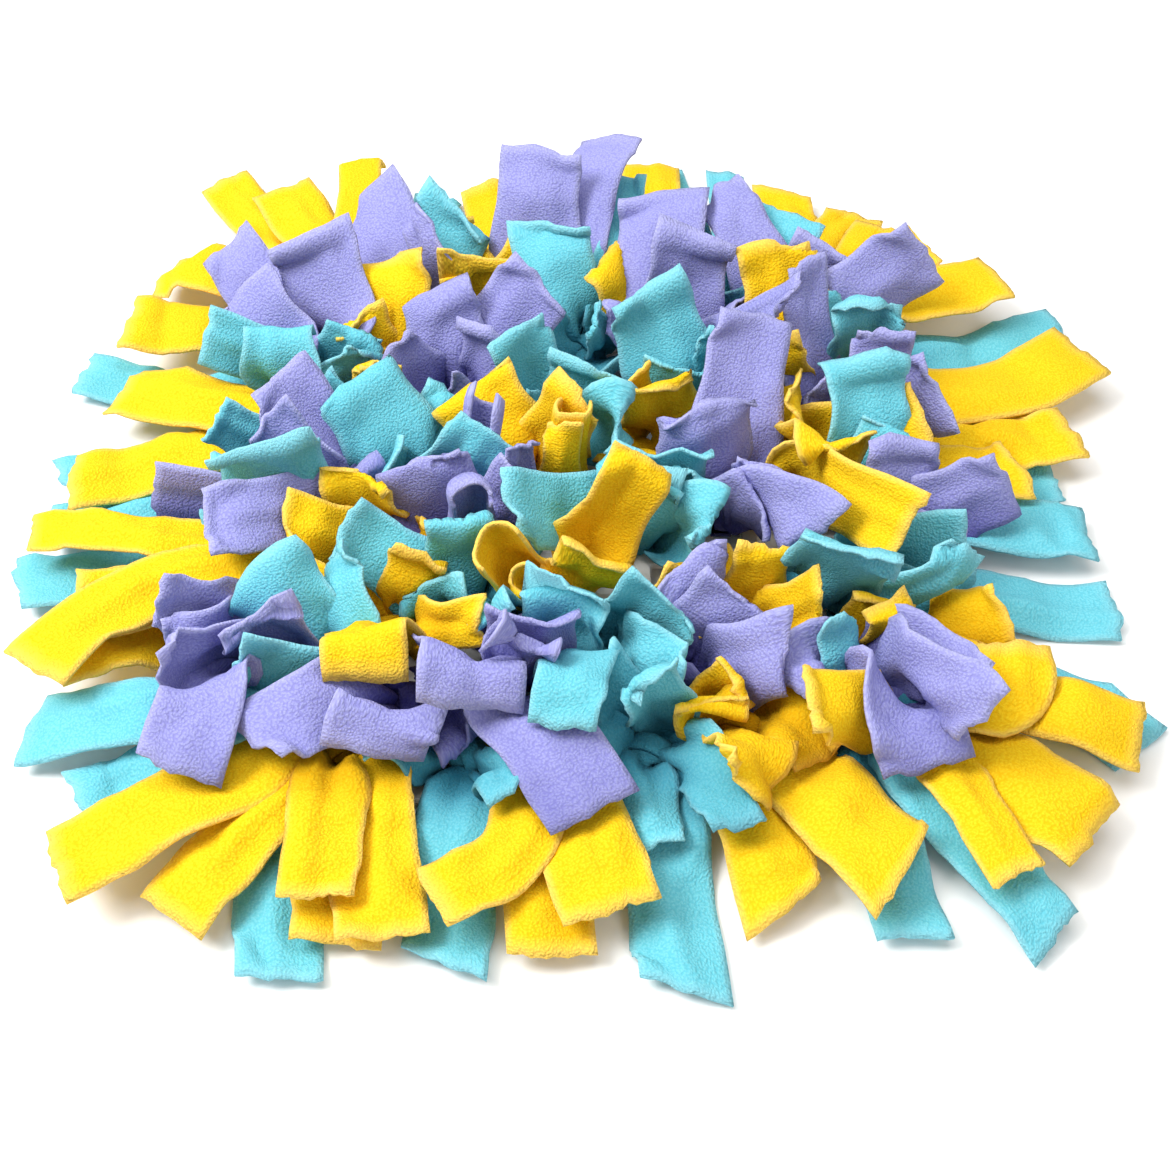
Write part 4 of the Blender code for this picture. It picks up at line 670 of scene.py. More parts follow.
# the fine shape of the strips
folds = {
    'across': 12,          # faces over a strip's width, and the length of a face along it
    'longest': 0.0042,
    'pleats': (2, 3, 3, 4),
    'pleat': 0.0046,       # depth of the pleats beside the knot
    'gather': 0.018,       # how much wider the gathered cloth is than its pinch
    'ripple': 0.0011,
    'drift': 0.0022,       # slow swell along a strip
    'wrinkle': 0.0008,     # small uneven creases
    'wrinkleLong': 0.011,
    'wrinkleWide': 0.009,
    'ridge': 0.0042,       # a lengthwise fold, and its width as a share of the strip's half width
    'ridgeWide': 0.24,
    'creases': 3,          # old folds at any slant, how tall and how wide
    'creaseTall': 0.0034,
    'creaseWide': 0.0055,
    'flop': 0.011,         # how far a raised tip bends over
    'ear': 0.010,          # how far one corner turns up or down
    'tooth': 0.0013,       # unevenness of the cut ends
    'slant': (0.13, 0.45),   # the most that an end is cut off, as shares of its length and half width
    'room': 0.016,         # how far to look for a neighbour, from which share of the length on,
    'roomFrom': 0.20,      # and how much of the room a flat and a rolled strip may take up
    'roomTaken': (0.5, 0.8),
    'neck': 0.34,          # where a raised strip's straight part starts, and how straight it is
    'straight': 0.85,
    'edgeThin': 0.60,      # a cut edge's thickness, as a share of the cloth's
    'gapShadeFoot': 0.010,      # painted shade: below this height a raised strip is shaded as if wholly down in the gaps,
    'gapShadeTall': 0.034,      # and this much higher it is out of them
    'gapShadeAlong': 0.045,     # the same along a strip on the floor, from its knot
}

# cloth on the floor: its cross-section's bend in radians, and how much of each shape it has
onFloor = {'bend': (0.05, 0.30), 'nearKnot': 0.45, 'flop': 0.45, 'ear': 0.6, 'ridge': 1.6, 'drift': 2.6,
           'crease': 1.4}

# curl 0 to 3: how far round the cross-section bends, in radians, how much of that is left at the tip,
# and how much wider the cloth is than it looks
curls = ((0.45, 0.25, 1.02), (1.0, 0.35, 1.05), (2.0, 0.60, 1.25), (4.9, 1.0, 1.75))


def smooth(value):
    value = max(0.0, min(1.0, value))
    return value * value * (3 - 2 * value)


# where along a strip each of its shapes sets in, and over how much of its length
ramps = {
    'opened': (0.0, 0.32),
    'knot': (0.0, 0.5),
    'curl': (0.5, 0.5),
    'gathered': (0.0, 0.08),
    'ungathered': (0.10, 0.5),
    'pleated': (0.0, 0.05),
    'unpleated': (0.04, 0.44),
    'straight': (0.15, 0.2),
    'crisp': (0.0, 0.18),
    'softer': (0.30, 0.7),
    'corner': (0.55, 0.45),
    'tip': (0.72, 0.28),
}


def ramp(name, t):
    start, over = ramps[name]
    return smooth((t - start) / over)


def between(values, steps, t):
    for i in range(len(steps) - 1):
        if t <= steps[i + 1] or i == len(steps) - 2:
            share = (t - steps[i]) / (steps[i + 1] - steps[i])
            return values[i] + (values[i + 1] - values[i]) * share


# a strip's middle line, side direction and half width at a share t of its length
def stripAt(strip, t):
    if strip.curve:
        middle = bezier(*strip.curve, t)
    else:
        shifted = strip.middles[1] - lieAt(strip.plan, strip.steps[1])
        shifted.z = 0.0
        middle = lieAt(strip.plan, t) + shifted * math.exp(-((t - strip.steps[1]) / 0.09) ** 2)
        middle.z = between([p.z for p in strip.middles], strip.steps, t)
    return middle, between(strip.sides, strip.steps, t), between(strip.halves, strip.steps, t)


# all the strips as plain solids, with whose each face is, to measure the room between them
def stripRoom():
    side = gridMat['side'] / 2
    corners = ((-side, -side), (side, -side), (side, side), (-side, side))
    points = [Vector((x, y, gridMat['top'])) for x, y in corners]
    faces, owners = [(0, 1, 2), (0, 2, 3)], [None, None]
    for name, rows in laid.items():
        for number, (way, strip, end) in enumerate(rows):
            more = strip.faces(len(points))
            points += strip.corners()
            faces += more
            owners += [(name, number)] * len(more)
    return BVHTree.FromPolygons(points, faces), owners


# how far it is to the next strip, or to the mat
def roomTowards(room, mine, start, way):
    tree, owners = room
    gone = 0.0
    while gone < folds['room']:
        spot, normal, index, distance = tree.ray_cast(start + way * gone, way, folds['room'] - gone)
        if index is None:
            break
        gone += distance
        if owners[index] != mine:
            return gone
        gone += 0.0002
    return folds['room']


# the least of each cell's neighbours, then their mean, so that cloth bends away from its neighbour softly
def softened(rows):
    for pick in (min, lambda near: sum(near) / len(near)):
        rows = [[pick([value for row in rows[max(0, i - 1):i + 2] for value in row[max(0, j - 1):j + 2]])
                 for j in range(len(rows[0]))] for i in range(len(rows))]
    return rows


def facesOf(verts):
    return list({face for vert in verts for face in vert.link_faces})


def fineStrip(work, strip, curl, mine, room):
    seed = '%s %d' % mine
    chance = random.Random(seed)
    lying = strip.curve is None
    length = sum((b - a).length for a, b in zip(strip.middles, strip.middles[1:]))
    rows, columns = max(14, int(length / folds['longest'])), folds['across']
    full = max(strip.halves)
    swell = Vector((chance.uniform(0, 90), chance.uniform(0, 90), chance.uniform(0, 90)))
    hollow = 1 if (lying or chance.random() < 0.58) else -1   # which way the strip is cupped
    pleats = chance.choice(folds['pleats'])
    phase = chance.uniform(0, math.pi)
    tooth = [chance.uniform(-1, 1) * folds['tooth'] * share for share in (0.5, 1.0, 1.0, 1.0, 0.5)]
    roundTurn, roundLeft, wider = curls[curl]
    roundTurn *= chance.uniform(0.7, 1.25)
    rolled = curl == 3
    flop = chance.choice((-1, 1, 1)) * chance.uniform(0.1, 1.0) * folds['flop'] * (0.3 if rolled else 1.0)
    earSide = chance.choice((-1, 1))
    ear = chance.choice((-1, 0, 1, 1)) * chance.uniform(0.4, 1.0) * folds['ear'] * (0.0 if rolled else 1.0)
    ridge = chance.uniform(-0.5, 0.5)        # where the lengthwise fold runs, across the strip
    ridgeTall = chance.uniform(0.2, 1.0) * folds['ridge'] * chance.choice((-1, 1))
    if lying:                                # cloth on the floor can only rise
        roundTurn = chance.uniform(*onFloor['bend'])
        wider = 1.0
        flop = abs(flop) * onFloor['flop']
        ear = abs(ear) * onFloor['ear']
        ridgeTall = abs(ridgeTall) * onFloor['ridge']
    # old folds that the cloth kept, each a line across the strip at its own slant
    creases = []
    for k in range(folds['creases']):
        slant = chance.uniform(0, math.pi)
        tall = chance.uniform(-1, 1) * folds['creaseTall']
        tall = onFloor['crease'] * abs(tall) if lying else tall
        creases.append((math.cos(slant), math.sin(slant), chance.uniform(-0.7, 0.7) * full,
                        chance.uniform(0.35, 0.95) * length, tall))
    foldRound = chance.uniform(2.0, 3.4)
    # one end in three is cut at a slant, but not a rolled one
    cutter = random.Random(seed + ' cut')
    cutSide = cutter.choice((-1, 1))
    slantCut = cutter.choice((0, 0, 1)) * cutter.uniform(0.3, 1.0)
    slantCut *= 0.0 if rolled else min(folds['slant'][0] * length, folds['slant'][1] * full)
    lastStep = (strip.middles[-1] - strip.middles[-2]).length
    neck = stripAt(strip, folds['neck'])[0]
    chord = (strip.middles[-1] - neck).normalized()
    flatSide = stripAt(strip, 0.75)[1]
    flatSide = (flatSide - chord * flatSide.dot(chord)).normalized()

    # cloth doesn't bend in its own plane, so past its neck a raised strip's cut edges run straight
    def middleAt(t):
        middle = stripAt(strip, t)[0]
        if lying:
            return middle
        return middle - flatSide * (middle - neck).dot(flatSide) * folds['straight'] * ramp('straight', t)

    frames, wides = [], []
    for i in range(rows + 1):
        t = i / rows
        middle, side, half = stripAt(strip, t)
        middle = middleAt(t)
        if not lying:
            half = max(half, full * 0.96 * ramp('opened', t))
        ahead = (middleAt(min(1.0, t + 0.01)) - middleAt(max(0.0, t - 0.01))).normalized()
        side = (side - ahead * side.dot(ahead)).normalized()
        up = side.cross(ahead).normalized()
        nearKnot = 1 - ramp('knot', t)
        left = 1 - (1 - roundLeft) * ramp('curl', t)
        bend = roundTurn * left
        bend += (foldRound - roundTurn) * nearKnot * (onFloor['nearKnot'] if lying else 1.0)
        wide = 2 * half * (1 + (wider - 1) * (1 - nearKnot))
        wide += folds['gather'] * ramp('gathered', t) * (1 - ramp('ungathered', t))
        frames.append((middle, side, ahead, up, half, bend, wide / bend))
        wides.append(wide)

    # the room over or under each point of the strip
    def roomOn(sign):
        free = []
        for i, (middle, side, ahead, up, half, bend, radius) in enumerate(frames):
            spots = [middle + side * radius * math.sin((2 * j / columns - 1) * bend / 2)
                     for j in range(columns + 1)]
            free.append([roomTowards(room, mine, spot, up * sign) if i / rows > folds['roomFrom']
                         else folds['room'] for spot in spots])
        return softened(free)

    gaps = roomOn(1), roomOn(-1)
    taken = folds['roomTaken'][1 if rolled else 0]

    lines = []
    for i, (middle, side, ahead, up, half, bend, radius) in enumerate(frames):
        t = i / rows
        pleat = folds['pleat'] * ramp('pleated', t) * (1 - ramp('unpleated', t))
        drift = folds['drift'] * smooth(t * 2.2) * noise.noise(swell + Vector((t * 2.4, 0.0, 0.0))) * 2
        if lying:
            drift = abs(drift) * onFloor['drift']
        tip = ramp('tip', t)
        bent = max(0.0, (t - 0.62) / 0.38) ** 2
        corner = ramp('corner', t)
        crisp = ramp('crisp', t) * (1 - 0.6 * ramp('softer', t))
        ridgeAt = ridge * (1 + 0.6 * math.sin(3 * t + phase))
        line = []
        for j in range(columns + 1):
            v = 2 * j / columns - 1
            angle = v * bend / 2
            height = radius * (math.cos(angle) - math.cos(bend / 2))   # highest along the middle
            height -= radius * (1 - math.cos(bend / 2)) * (0.0 if lying else 0.62)
            height *= hollow
            height += pleat * math.sin(math.pi * pleats * (v * 0.5 + 0.5) + phase)
            height += drift * (1.0 - 0.3 * v * v)
            height += ridgeTall * crisp * (math.exp(-((v - ridgeAt) / folds['ridgeWide']) ** 2) - 0.3)
            rippled = math.sin(12 * t + phase * 3 + (2 if v > 0 else 0))
            height += folds['ripple'] * rippled * abs(v) ** 3 * smooth(t * 3)
            spot = Vector((t * length / folds['wrinkleLong'], v * half / folds['wrinkleWide'], 3.0))
            height += folds['wrinkle'] * noise.noise(swell + spot)
            for across, along, startV, startT, tall in creases:
                away = abs((v * half - startV) * across + (t * length - startT) * along)
                height += tall * smooth(t * 4) * math.exp(-away / folds['creaseWide'])
            turned = smooth((earSide * v + 1.6 * corner - 1.35) / 0.9) ** 2
            height += flop * bent + ear * turned
            over, under = [max(0.0, (gap[i][j] - cloth['thick']) * taken) for gap in gaps]
            height = max(min(height, over), 0.0 if lying else -under)
            forward = tip * (v * strip.skew * lastStep + tooth[int((v + 1) * 1.99)]
                             + folds['tooth'] * noise.noise(swell + Vector((v * 4, 7.0, 0.0))))
            forward -= 0.4 * abs(flop) * bent + 0.35 * abs(ear) * turned
            forward -= tip * slantCut * (cutSide * v + 1)
            sideways = radius * math.sin(angle) - earSide * 0.45 * abs(ear) * turned
            line.append(middle + side * sideways + up * height + ahead * forward)
        lines.append(line)

    # a grid takes the shape, and the cloth's other face is pulled off it, so that it is one closed piece
    uvLayer = work.loops.layers.uv['strip']
    edgeLayer, gapShadeLayer = work.verts.layers.float['cutEdge'], work.verts.layers.float['gap']
    grid = bmesh.ops.create_grid(work, x_segments=columns, y_segments=rows, size=0.5)
    verts = sorted(grid['verts'], key=lambda v: (round((v.co.y + 0.5) * rows), v.co.x))
    faces = facesOf(verts)
    startU, startV = chance.uniform(0, 3), chance.uniform(0, 3)
    reached = [0.0]
    for a, b in zip(lines, lines[1:]):
        reached.append(reached[-1] + (b[columns // 2] - a[columns // 2]).length)
    for face in faces:
        for loop in face.loops:
            i = round((loop.vert.co.y + 0.5) * rows)
            loop[uvLayer].uv = (startU + loop.vert.co.x * wides[i], startV + reached[i])
    made = bmesh.ops.extrude_face_region(work, geom=faces, use_keep_orig=True)
    twins = {(round(item.co.x, 6), round(item.co.y, 6)): item for item in made['geom']
             if isinstance(item, bmesh.types.BMVert)}
    for k, vert in enumerate(verts):
        i, j = divmod(k, columns + 1)
        twin = twins[(round(vert.co.x, 6), round(vert.co.y, 6))]
        across = lines[i][min(j + 1, columns)] - lines[i][max(j - 1, 0)]
        forward = lines[min(i + 1, rows)][j] - lines[max(i - 1, 0)][j]
        half = cloth['thick'] / 2 * (folds['edgeThin'] if j in (0, columns) or i == rows else 1.0)
        out = across.cross(forward).normalized() * half
        vert.co = lines[i][j] - out
        twin.co = lines[i][j] + out
        # the sides and the cut tip, where the painted edge highlight goes
        vert[edgeLayer] = twin[edgeLayer] = max(smooth((abs(2 * j / columns - 1) - 0.80) / 0.20),
                                                smooth(1 - (rows - i) / 1.6))
        # painted shade: darker the lower a raised strip is, and the nearer a floor strip is to its knot
        high = (lines[i][j].z - folds['gapShadeFoot']) / folds['gapShadeTall']
        vert[gapShadeLayer] = twin[gapShadeLayer] = 1 - smooth(reached[i] / folds['gapShadeAlong'] if lying else high)
        low = min(vert.co.z, twin.co.z)
        if lying and low < 0.0:
            vert.co.z -= low
            twin.co.z -= low
    return length, strip.halves[-1] * 2 * wider


# the wrapped head of a knot: a squashed ball drawn in by pleats, and one turn of cloth laid over it
def knotHead(work, place, seed):
    chance = random.Random(seed)
    turned = chance.uniform(0, math.pi)
    pleats = chance.choice((4, 5, 6))
    tall = (knotSize['top'] - knotSize['foot']) / 2
    for vert in bmesh.ops.create_uvsphere(work, u_segments=18, v_segments=10, radius=1.0)['verts']:
        p = vert.co
        pleated = 0.5 + 0.5 * math.sin(pleats * math.atan2(p.y, p.x) + turned + 2.2 * p.z)
        reach = knotSize['headOut'] * (1 - knotSize['drawnIn'] * pleated * (1 - abs(p.z)) ** 0.3)
        height = knotSize['foot'] + tall + p.z * (tall + 0.0006)
        vert.co = place + Vector((p.x * reach, p.y * reach, height))
    wrap = bmesh.ops.create_grid(work, x_segments=4, y_segments=14, size=1.0)['verts']
    lean = heading(math.degrees(turned))
    cross = Vector((-lean.y, lean.x, 0.0))
    for vert in wrap:
        v, t = vert.co.x, vert.co.y
        angle = t * knotSize['wrapTurn']
        reach = knotSize['wrapOut'] - 0.0008 * v * v
        height = knotSize['foot'] + tall + math.cos(angle) * (tall + 0.0022)
        across = cross * (v * knotSize['wrapWide'] / 2 + 0.0015 * t)
        vert.co = place + lean * math.sin(angle) * reach + across + Vector((0.0, 0.0, height))
    bmesh.ops.solidify(work, geom=facesOf(wrap), thickness=cloth['thick'])


# the cloth that goes down through one hole, under the bar and up through the next
def knotLoop(work, place, alongX):
    way = Vector((1.0, 0.0, 0.0)) if alongX else Vector((0.0, 1.0, 0.0))
    cross = Vector((-way.y, way.x, 0.0))
    path = bmesh.ops.create_grid(work, x_segments=4, y_segments=16, size=1.0)['verts']
    reach = (knotSize['loopOutside'] + knotSize['loopInside']) / 2
    bottom = (knotSize['loopUnder'] + knotSize['loopBottom']) / 2
    for vert in path:
        v, t = vert.co.x, vert.co.y
        sideways = math.copysign(min(1.0, abs(math.sin(t * math.pi / 2)) * 1.5), t)
        height = bottom + (knotSize['foot'] + 0.003 - bottom) * smooth((abs(t) - 0.4) / 0.6)
        across = cross * v * knotSize['loopWide'] / 2 * (1 - 0.1 * smooth(abs(t)))
        vert.co = place + way * sideways * reach + across + Vector((0.0, 0.0, height))
    bmesh.ops.solidify(work, geom=facesOf(path), thickness=cloth['thick'])


def addObject(name, data):
    thing = bpy.data.objects.new(name, data)
    bpy.context.scene.collection.objects.link(thing)
    return thing


def objectFrom(work, name, material):
    mesh = bpy.data.meshes.new(name)
    work.to_mesh(mesh)
    work.free()
    mesh.shade_smooth()
    mesh.materials.append(material)
    return addObject(name, mesh)


def makeTuft(name, tuft, room, material):
    place, alongX = knotPlace(tuft)
    work = bmesh.new()
    uvLayer = work.loops.layers.uv.new('strip')
    work.verts.layers.float.new('cutEdge')
    gapShadeLayer = work.verts.layers.float.new('gap')
    clothLength = knotSize['clothIn']
    clothArea = clothLength * knotSize['clothInWidth']
    for number, (way, strip, end) in enumerate(laid[name]):
        length, width = fineStrip(work, strip, getattr(end, 'curl', 0), (name, number), room)
        clothArea += length * width
        clothLength += length
    strips = set(work.faces)
    knotHead(work, place, name)
    knotLoop(work, place, alongX)
    for face in set(work.faces) - strips:
        for loop in face.loops:
            p = loop.vert.co
            # the knot's head and loop get painted shade, as if down in the gaps
            loop.vert[gapShadeLayer] = knotSize['gap']
            # slanted, so that no side is stretched much
            loop[uvLayer].uv = (p.x + 0.8 * p.z, p.y + 0.6 * p.z)
    bmesh.ops.recalc_face_normals(work, faces=work.faces)
    return objectFrom(work, 'tuft' + name.title().replace('_', ''), material), clothArea, clothLength


def makeGrid(material):
    half = gridMat['side'] / 2
    rim = (gridMat['pitch'] - gridMat['hole']) / 2
    start = -gridMat['cells'] * gridMat['pitch'] / 2
    lines = [-half]
    for k in range(gridMat['cells']):
        lines += [start + k * gridMat['pitch'] + rim, start + (k + 1) * gridMat['pitch'] - rim]
    lines.append(half)
    count = len(lines) - 1
    work = bmesh.new()
    bmesh.ops.create_grid(work, x_segments=count, y_segments=count, size=0.5)

    # the faces whose column and row both leave this rest when counted off
    def facesAt(every, rest):
        middles = [(face, face.calc_center_median()) for face in work.faces]
        return [face for face, middle in middles
                if int((middle.x + 0.5) * count) % every == int((middle.y + 0.5) * count) % every == rest]

    bmesh.ops.delete(work, geom=facesAt(2, 1), context='FACES_ONLY')
    feet = facesAt(2 * gridMat['footEvery'], 0)
    for vert in work.verts:
        vert.co = Vector((lines[round((vert.co.x + 0.5) * count)], lines[round((vert.co.y + 0.5) * count)],
                          gridMat['underside']))
    made = bmesh.ops.extrude_face_region(work, geom=list(work.faces), use_keep_orig=True)
    for item in made['geom']:
        if isinstance(item, bmesh.types.BMVert):
            item.co.z = gridMat['top']
    bmesh.ops.recalc_face_normals(work, faces=work.faces)
    for face in feet:
        down = bmesh.ops.extrude_discrete_faces(work, faces=[face])
        for vert in down['faces'][0].verts:
            vert.co.z = 0.0

    def uprightEdges(atCorner):
        found = []
        for edge in work.edges:
            a, b = [vert.co for vert in edge.verts]
            corner = abs(abs(a.x) - half) < 1e-5 and abs(abs(a.y) - half) < 1e-5
            if abs(a.x - b.x) + abs(a.y - b.y) < 1e-6 and corner == atCorner:
                found.append(edge)
        return found

    bmesh.ops.bevel(work, geom=uprightEdges(True), offset=gridMat['cornerCut'], segments=4, profile=0.5,
                    affect='EDGES', material=-1)
    holeEdges = [edge for edge in uprightEdges(False) if len(edge.link_faces) == 2
                 and edge.link_faces[0].normal.dot(edge.link_faces[1].normal) < 0.5
                 and min(vert.co.z for vert in edge.verts) > 0.5 * gridMat['underside']]
    bmesh.ops.bevel(work, geom=holeEdges, offset=gridMat['holeRound'], segments=2, profile=0.5,
                    affect='EDGES', material=-1)
    bmesh.ops.recalc_face_normals(work, faces=work.faces)
    thing = objectFrom(work, 'gridMat', material)
    thing.data.set_sharp_from_angle(angle=math.radians(35))
    soften = thing.modifiers.new('edges', 'BEVEL')
    soften.width, soften.segments = gridMat['edgeRound'], 1
    soften.limit_method, soften.angle_limit = 'ANGLE', math.radians(60)
    return thing


# small rolled curls of nap, with painted shade in the pits between them, and a painted highlight along cut
# edges
fleece = {
    'curls': 780.0,        # curls for each metre, and how soft their rims are
    'curlSoft': 0.15,
    'fuzz': 1150.0,
    'fuzzShare': 1.0,
    'pits': (0.88, 1.42),  # from the height of the darkest painted shade to that of the cloth's own colour
    'patches': 38.0,       # broad worn patches for each metre, and how much they change the pits
    'patchShare': 0.25,
    # how far a painted highlight pales the cut edges toward white
    'edgeHighlight': 0.10,
    'gapShadeShare': 0.88,      # how much painted shade darkens the colour down between the strips
    'bump': 0.50,
    'bumpDeep': 0.0009,
    'rough': 0.95,
    'specular': 0.06,
    'sheen': 0.14,
    'sheenRough': 0.5,
    'sheenPale': 0.08,
}

# each cloth's colour, the painted shade of its pits, and the painted shade of what lies down in the gaps
fleeceColors = {
    'yellow': ((0.880, 0.590, 0.018), (0.81, 0.47, 0.007), (0.46, 0.22, 0.002)),
    'turquoise': ((0.176, 0.550, 0.632), (0.118, 0.470, 0.565), (0.012, 0.130, 0.210)),
    'lavender': ((0.325, 0.332, 0.618), (0.240, 0.238, 0.540), (0.020, 0.018, 0.190)),
}

rubberFinish = {
    'color': (0.80, 0.79, 0.76),
    'dusty': (0.70, 0.68, 0.64),
    'dust': 55.0,          # patches of dust and grain for each metre
    'grain': 1400.0,
    'rough': (0.42, 0.72),   # from clean to dusty
    'bump': 0.25,
    'bumpDeep': 0.0003,
}


def solid(color):
    return (*color, 1.0)


# a node's inputs: a socket is linked, and anything else is the input's own value
def fillIn(tree, node, inputs):
    for name, value in inputs.items():
        if isinstance(value, bpy.types.NodeSocket):
            tree.links.new(value, node.inputs[name])
        else:
            node.inputs[name].default_value = value


def addNode(tree, kind, inputs, **settings):
    node = tree.nodes.new(kind)
    for name, value in settings.items():
        setattr(node, name, value)
    fillIn(tree, node, inputs)
    return node.outputs


def mixed(tree, share, a, b):
    return addNode(tree, 'ShaderNodeMix', {'Factor': share, 'A': a, 'B': b}, data_type='RGBA')['Result']


def bumped(tree, height, finish):
    return addNode(tree, 'ShaderNodeBump', {
        'Strength': finish['bump'], 'Distance': finish['bumpDeep'], 'Height': height})['Normal']


def fleeceGroup():
    group = bpy.data.node_groups.new('fleece nap', 'ShaderNodeTree')
    sockets = {'INPUT': ('Color', 'Pit Shade Color', 'Gap Shade Color', 'Curls'), 'OUTPUT': ('Color', 'Height')}
    for way, names in sockets.items():
        for name in names:
            kind = 'NodeSocketColor' if 'Color' in name else 'NodeSocketFloat'
            group.interface.new_socket(name, in_out=way, socket_type=kind)
    given = addNode(group, 'NodeGroupInput', {})
    uv = addNode(group, 'ShaderNodeTexCoord', {})['UV']

    def noiseAt(scale):
        return addNode(group, 'ShaderNodeTexNoise', {'Vector': uv, 'Scale': scale, 'Detail': 2.0},
                       noise_dimensions='2D')['Fac']

    def mathOf(kind, *values, **settings):
        inputs = dict(enumerate(values))
        return addNode(group, 'ShaderNodeMath', inputs, operation=kind, **settings)['Value']

    def maskOf(name, share):
        mask = addNode(group, 'ShaderNodeAttribute', {}, attribute_name=name)['Fac']
        return mathOf('MULTIPLY', mask, share)

    # rounded curls: high in the middle of each cell
    curls = addNode(group, 'ShaderNodeTexVoronoi', {
        'Vector': uv, 'Scale': given['Curls'], 'Smoothness': fleece['curlSoft']},
        voronoi_dimensions='2D', feature='SMOOTH_F1')['Distance']
    tops = mathOf('SUBTRACT', 1.0, curls)
    height = mathOf('MULTIPLY_ADD', noiseAt(fleece['fuzz']), fleece['fuzzShare'], tops)
    # painted shade darkens the pits between curls, more so where the cloth is worn
    pits = addNode(group, 'ShaderNodeMapRange', {
        'Value': height, 'From Min': fleece['pits'][0], 'From Max': fleece['pits'][1]})['Result']
    worn = fleece['patchShare']
    patches = mathOf('MULTIPLY_ADD', noiseAt(fleece['patches']), worn, -0.5 * worn)
    color = mixed(group, mathOf('ADD', pits, patches, use_clamp=True), given['Pit Shade Color'], given['Color'])
    # a painted highlight along the cut edges, and painted shade down in the gaps, by the cloth's own height
    color = mixed(group, maskOf('cutEdge', fleece['edgeHighlight']), color, (1.0, 1.0, 1.0, 1.0))
    color = mixed(group, maskOf('gap', fleece['gapShadeShare']), color, given['Gap Shade Color'])
    addNode(group, 'NodeGroupOutput', {'Color': color, 'Height': height})
    return group


def newMaterial(name, color, rough):
    material = bpy.data.materials.new(name)
    material.use_nodes = True
    shader = material.node_tree.nodes['Principled BSDF']
    fillIn(material.node_tree, shader, {'Base Color': solid(color), 'Roughness': rough})
    return material, material.node_tree, shader


# gap is the painted shade colour for cloth down between the strips
def fleeceMaterial(name, group, color, pitShade, gap):
    material, tree, shader = newMaterial(name, color, fleece['rough'])
    nap = addNode(tree, 'ShaderNodeGroup', {'Color': solid(color), 'Pit Shade Color': solid(pitShade),
                  'Gap Shade Color': solid(gap), 'Curls': fleece['curls']}, node_tree=group)
    fillIn(tree, shader, {
        'Base Color': nap['Color'], 'Normal': bumped(tree, nap['Height'], fleece),
        'Specular IOR Level': fleece['specular'],
        'Sheen Weight': fleece['sheen'], 'Sheen Roughness': fleece['sheenRough'],
        'Sheen Tint': solid([min(1.0, c + fleece['sheenPale']) for c in color])})
    material.diffuse_color = solid(color)
    return material


def rubberMaterial():
    material, tree, shader = newMaterial('whiteRubber', rubberFinish['color'], 0.5)
    spot = addNode(tree, 'ShaderNodeTexCoord', {})['Object']
    dust, grain = [addNode(tree, 'ShaderNodeTexNoise', {
        'Vector': spot, 'Scale': rubberFinish[name], 'Detail': 4.0})['Fac'] for name in ('dust', 'grain')]
    rough = addNode(tree, 'ShaderNodeMapRange', {
        'Value': dust, 'To Min': rubberFinish['rough'][0], 'To Max': rubberFinish['rough'][1]})['Result']
    fillIn(tree, shader, {
        'Base Color': mixed(tree, dust, solid(rubberFinish['color']), solid(rubberFinish['dusty'])),
        'Roughness': rough, 'Normal': bumped(tree, grain, rubberFinish)})
    return material


napGroup = fleeceGroup()
fleeces = {name: fleeceMaterial(name + 'Fleece', napGroup, *three) for name, three in fleeceColors.items()}

mat = makeGrid(rubberMaterial())
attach(mat, 'root')
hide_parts('grid_mat')
print('grid mat made')

room = stripRoom()
for name, tuft in tufts.items():
    hue = name.split('_')[0]
    thing, clothArea, clothLength = makeTuft(name, tuft, room, fleeces[hue])
    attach(thing, 'root')
    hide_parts('tuft_' + name)
print('tufts made:', len(tufts))

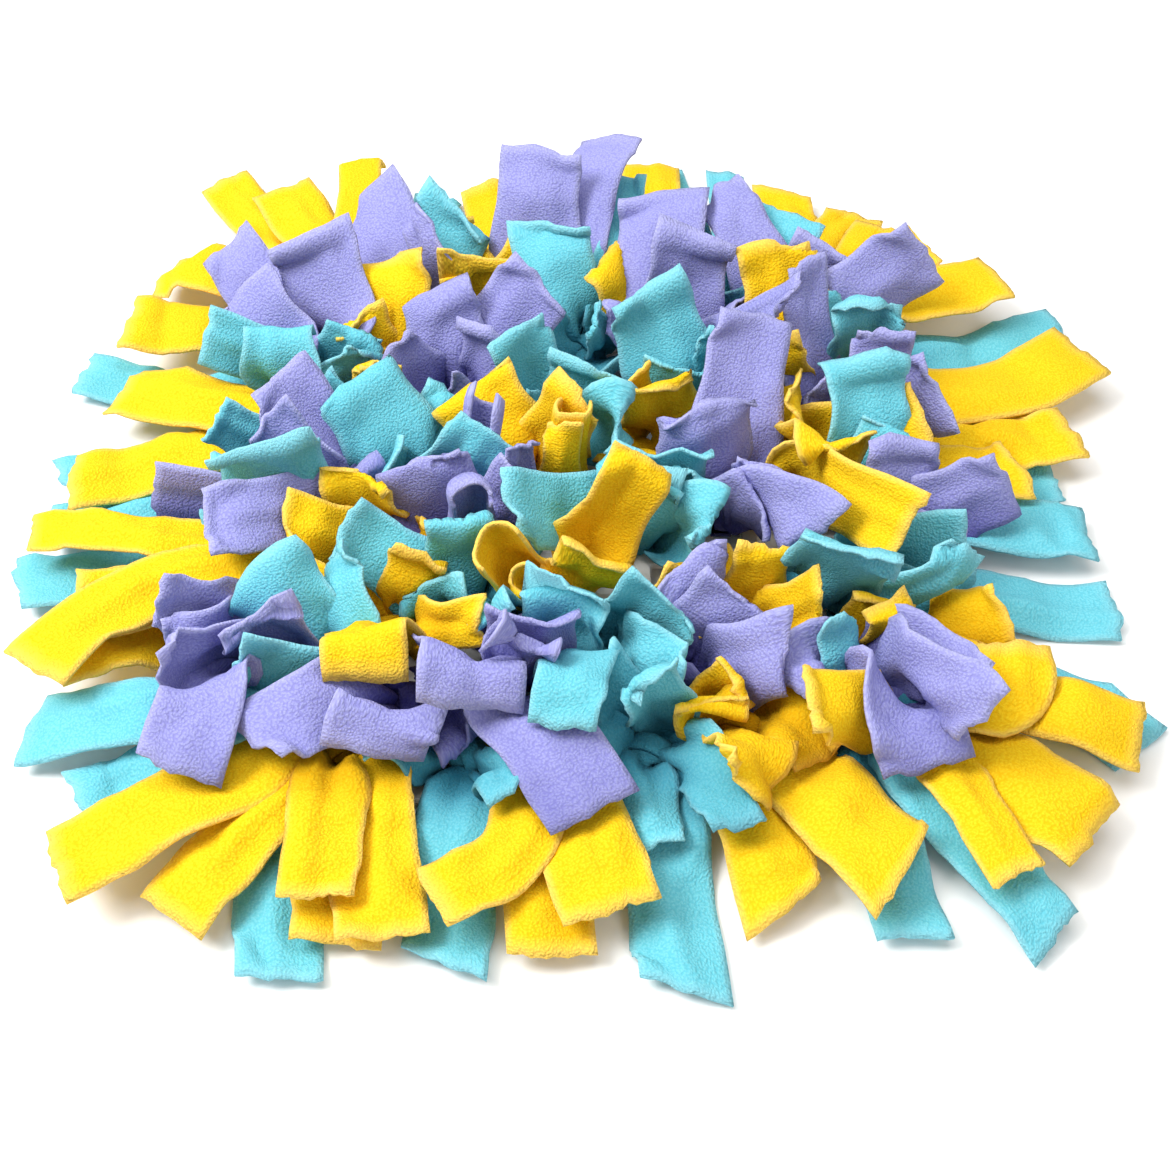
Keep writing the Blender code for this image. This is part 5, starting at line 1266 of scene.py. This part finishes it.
stage = {
    'floorSide': 7.0,
    'floorColor': (0.93, 0.925, 0.915),
    'floorRough': 0.8,
    'floorDown': 0.0002,
    'skyColor': (1.0, 1.0, 1.0),
    'sky': 0.42,
    'aim': (0.0, -0.038, 0.0),
    'distance': 0.762,
    'elevation': 49.0,
    'lens': 50.0,
    'sensor': 36.0,
}

# each light: its power and size, where it is, and what it shines at
lights = {
    'overhead': (21.0, 1.6, (-0.25, 0.15, 1.7), (0.0, 0.0, 0.0)),
    'lamp': (26.5, 0.8, (-1.0, -0.1, 1.3), (0.0, 0.0, 0.0)),
    'window': (6.0, 1.0, (1.1, -1.0, 1.1), (0.0, 0.0, 0.03)),
}


def makeFloor():
    work = bmesh.new()
    bmesh.ops.create_grid(work, x_segments=1, y_segments=1, size=stage['floorSide'] / 2)
    bmesh.ops.translate(work, verts=work.verts, vec=(0.0, 0.0, -stage['floorDown']))
    material, tree, shader = newMaterial('paleFloor', stage['floorColor'], stage['floorRough'])
    objectFrom(work, 'floor', material)


def makeLight(name, power, size, place, aim):
    light = bpy.data.lights.new(name, 'AREA')
    light.energy, light.shape, light.size = power, 'DISK', size
    lamp = addObject(name, light)
    lamp.location = place
    lamp.rotation_euler = (Vector(aim) - Vector(place)).to_track_quat('-Z', 'Y').to_euler()


makeFloor()
for name, numbers in lights.items():
    makeLight(name, *numbers)

scene = bpy.context.scene
scene.world = bpy.data.worlds.new('softRoom')
scene.world.use_nodes = True
fillIn(scene.world.node_tree, scene.world.node_tree.nodes['Background'], {
    'Color': solid(stage['skyColor']), 'Strength': stage['sky']})
scene.view_settings.view_transform = 'Standard'

camera = bpy.data.cameras.new('camera')
camera.lens, camera.sensor_width = stage['lens'], stage['sensor']
scene.camera = addObject('camera', camera)
pitch = math.radians(stage['elevation'])
away = Vector((0.0, -math.cos(pitch), math.sin(pitch))) * stage['distance']
scene.camera.location = Vector(stage['aim']) + away
scene.camera.rotation_euler = (math.pi / 2 - pitch, 0.0, 0.0)
print('stage set')
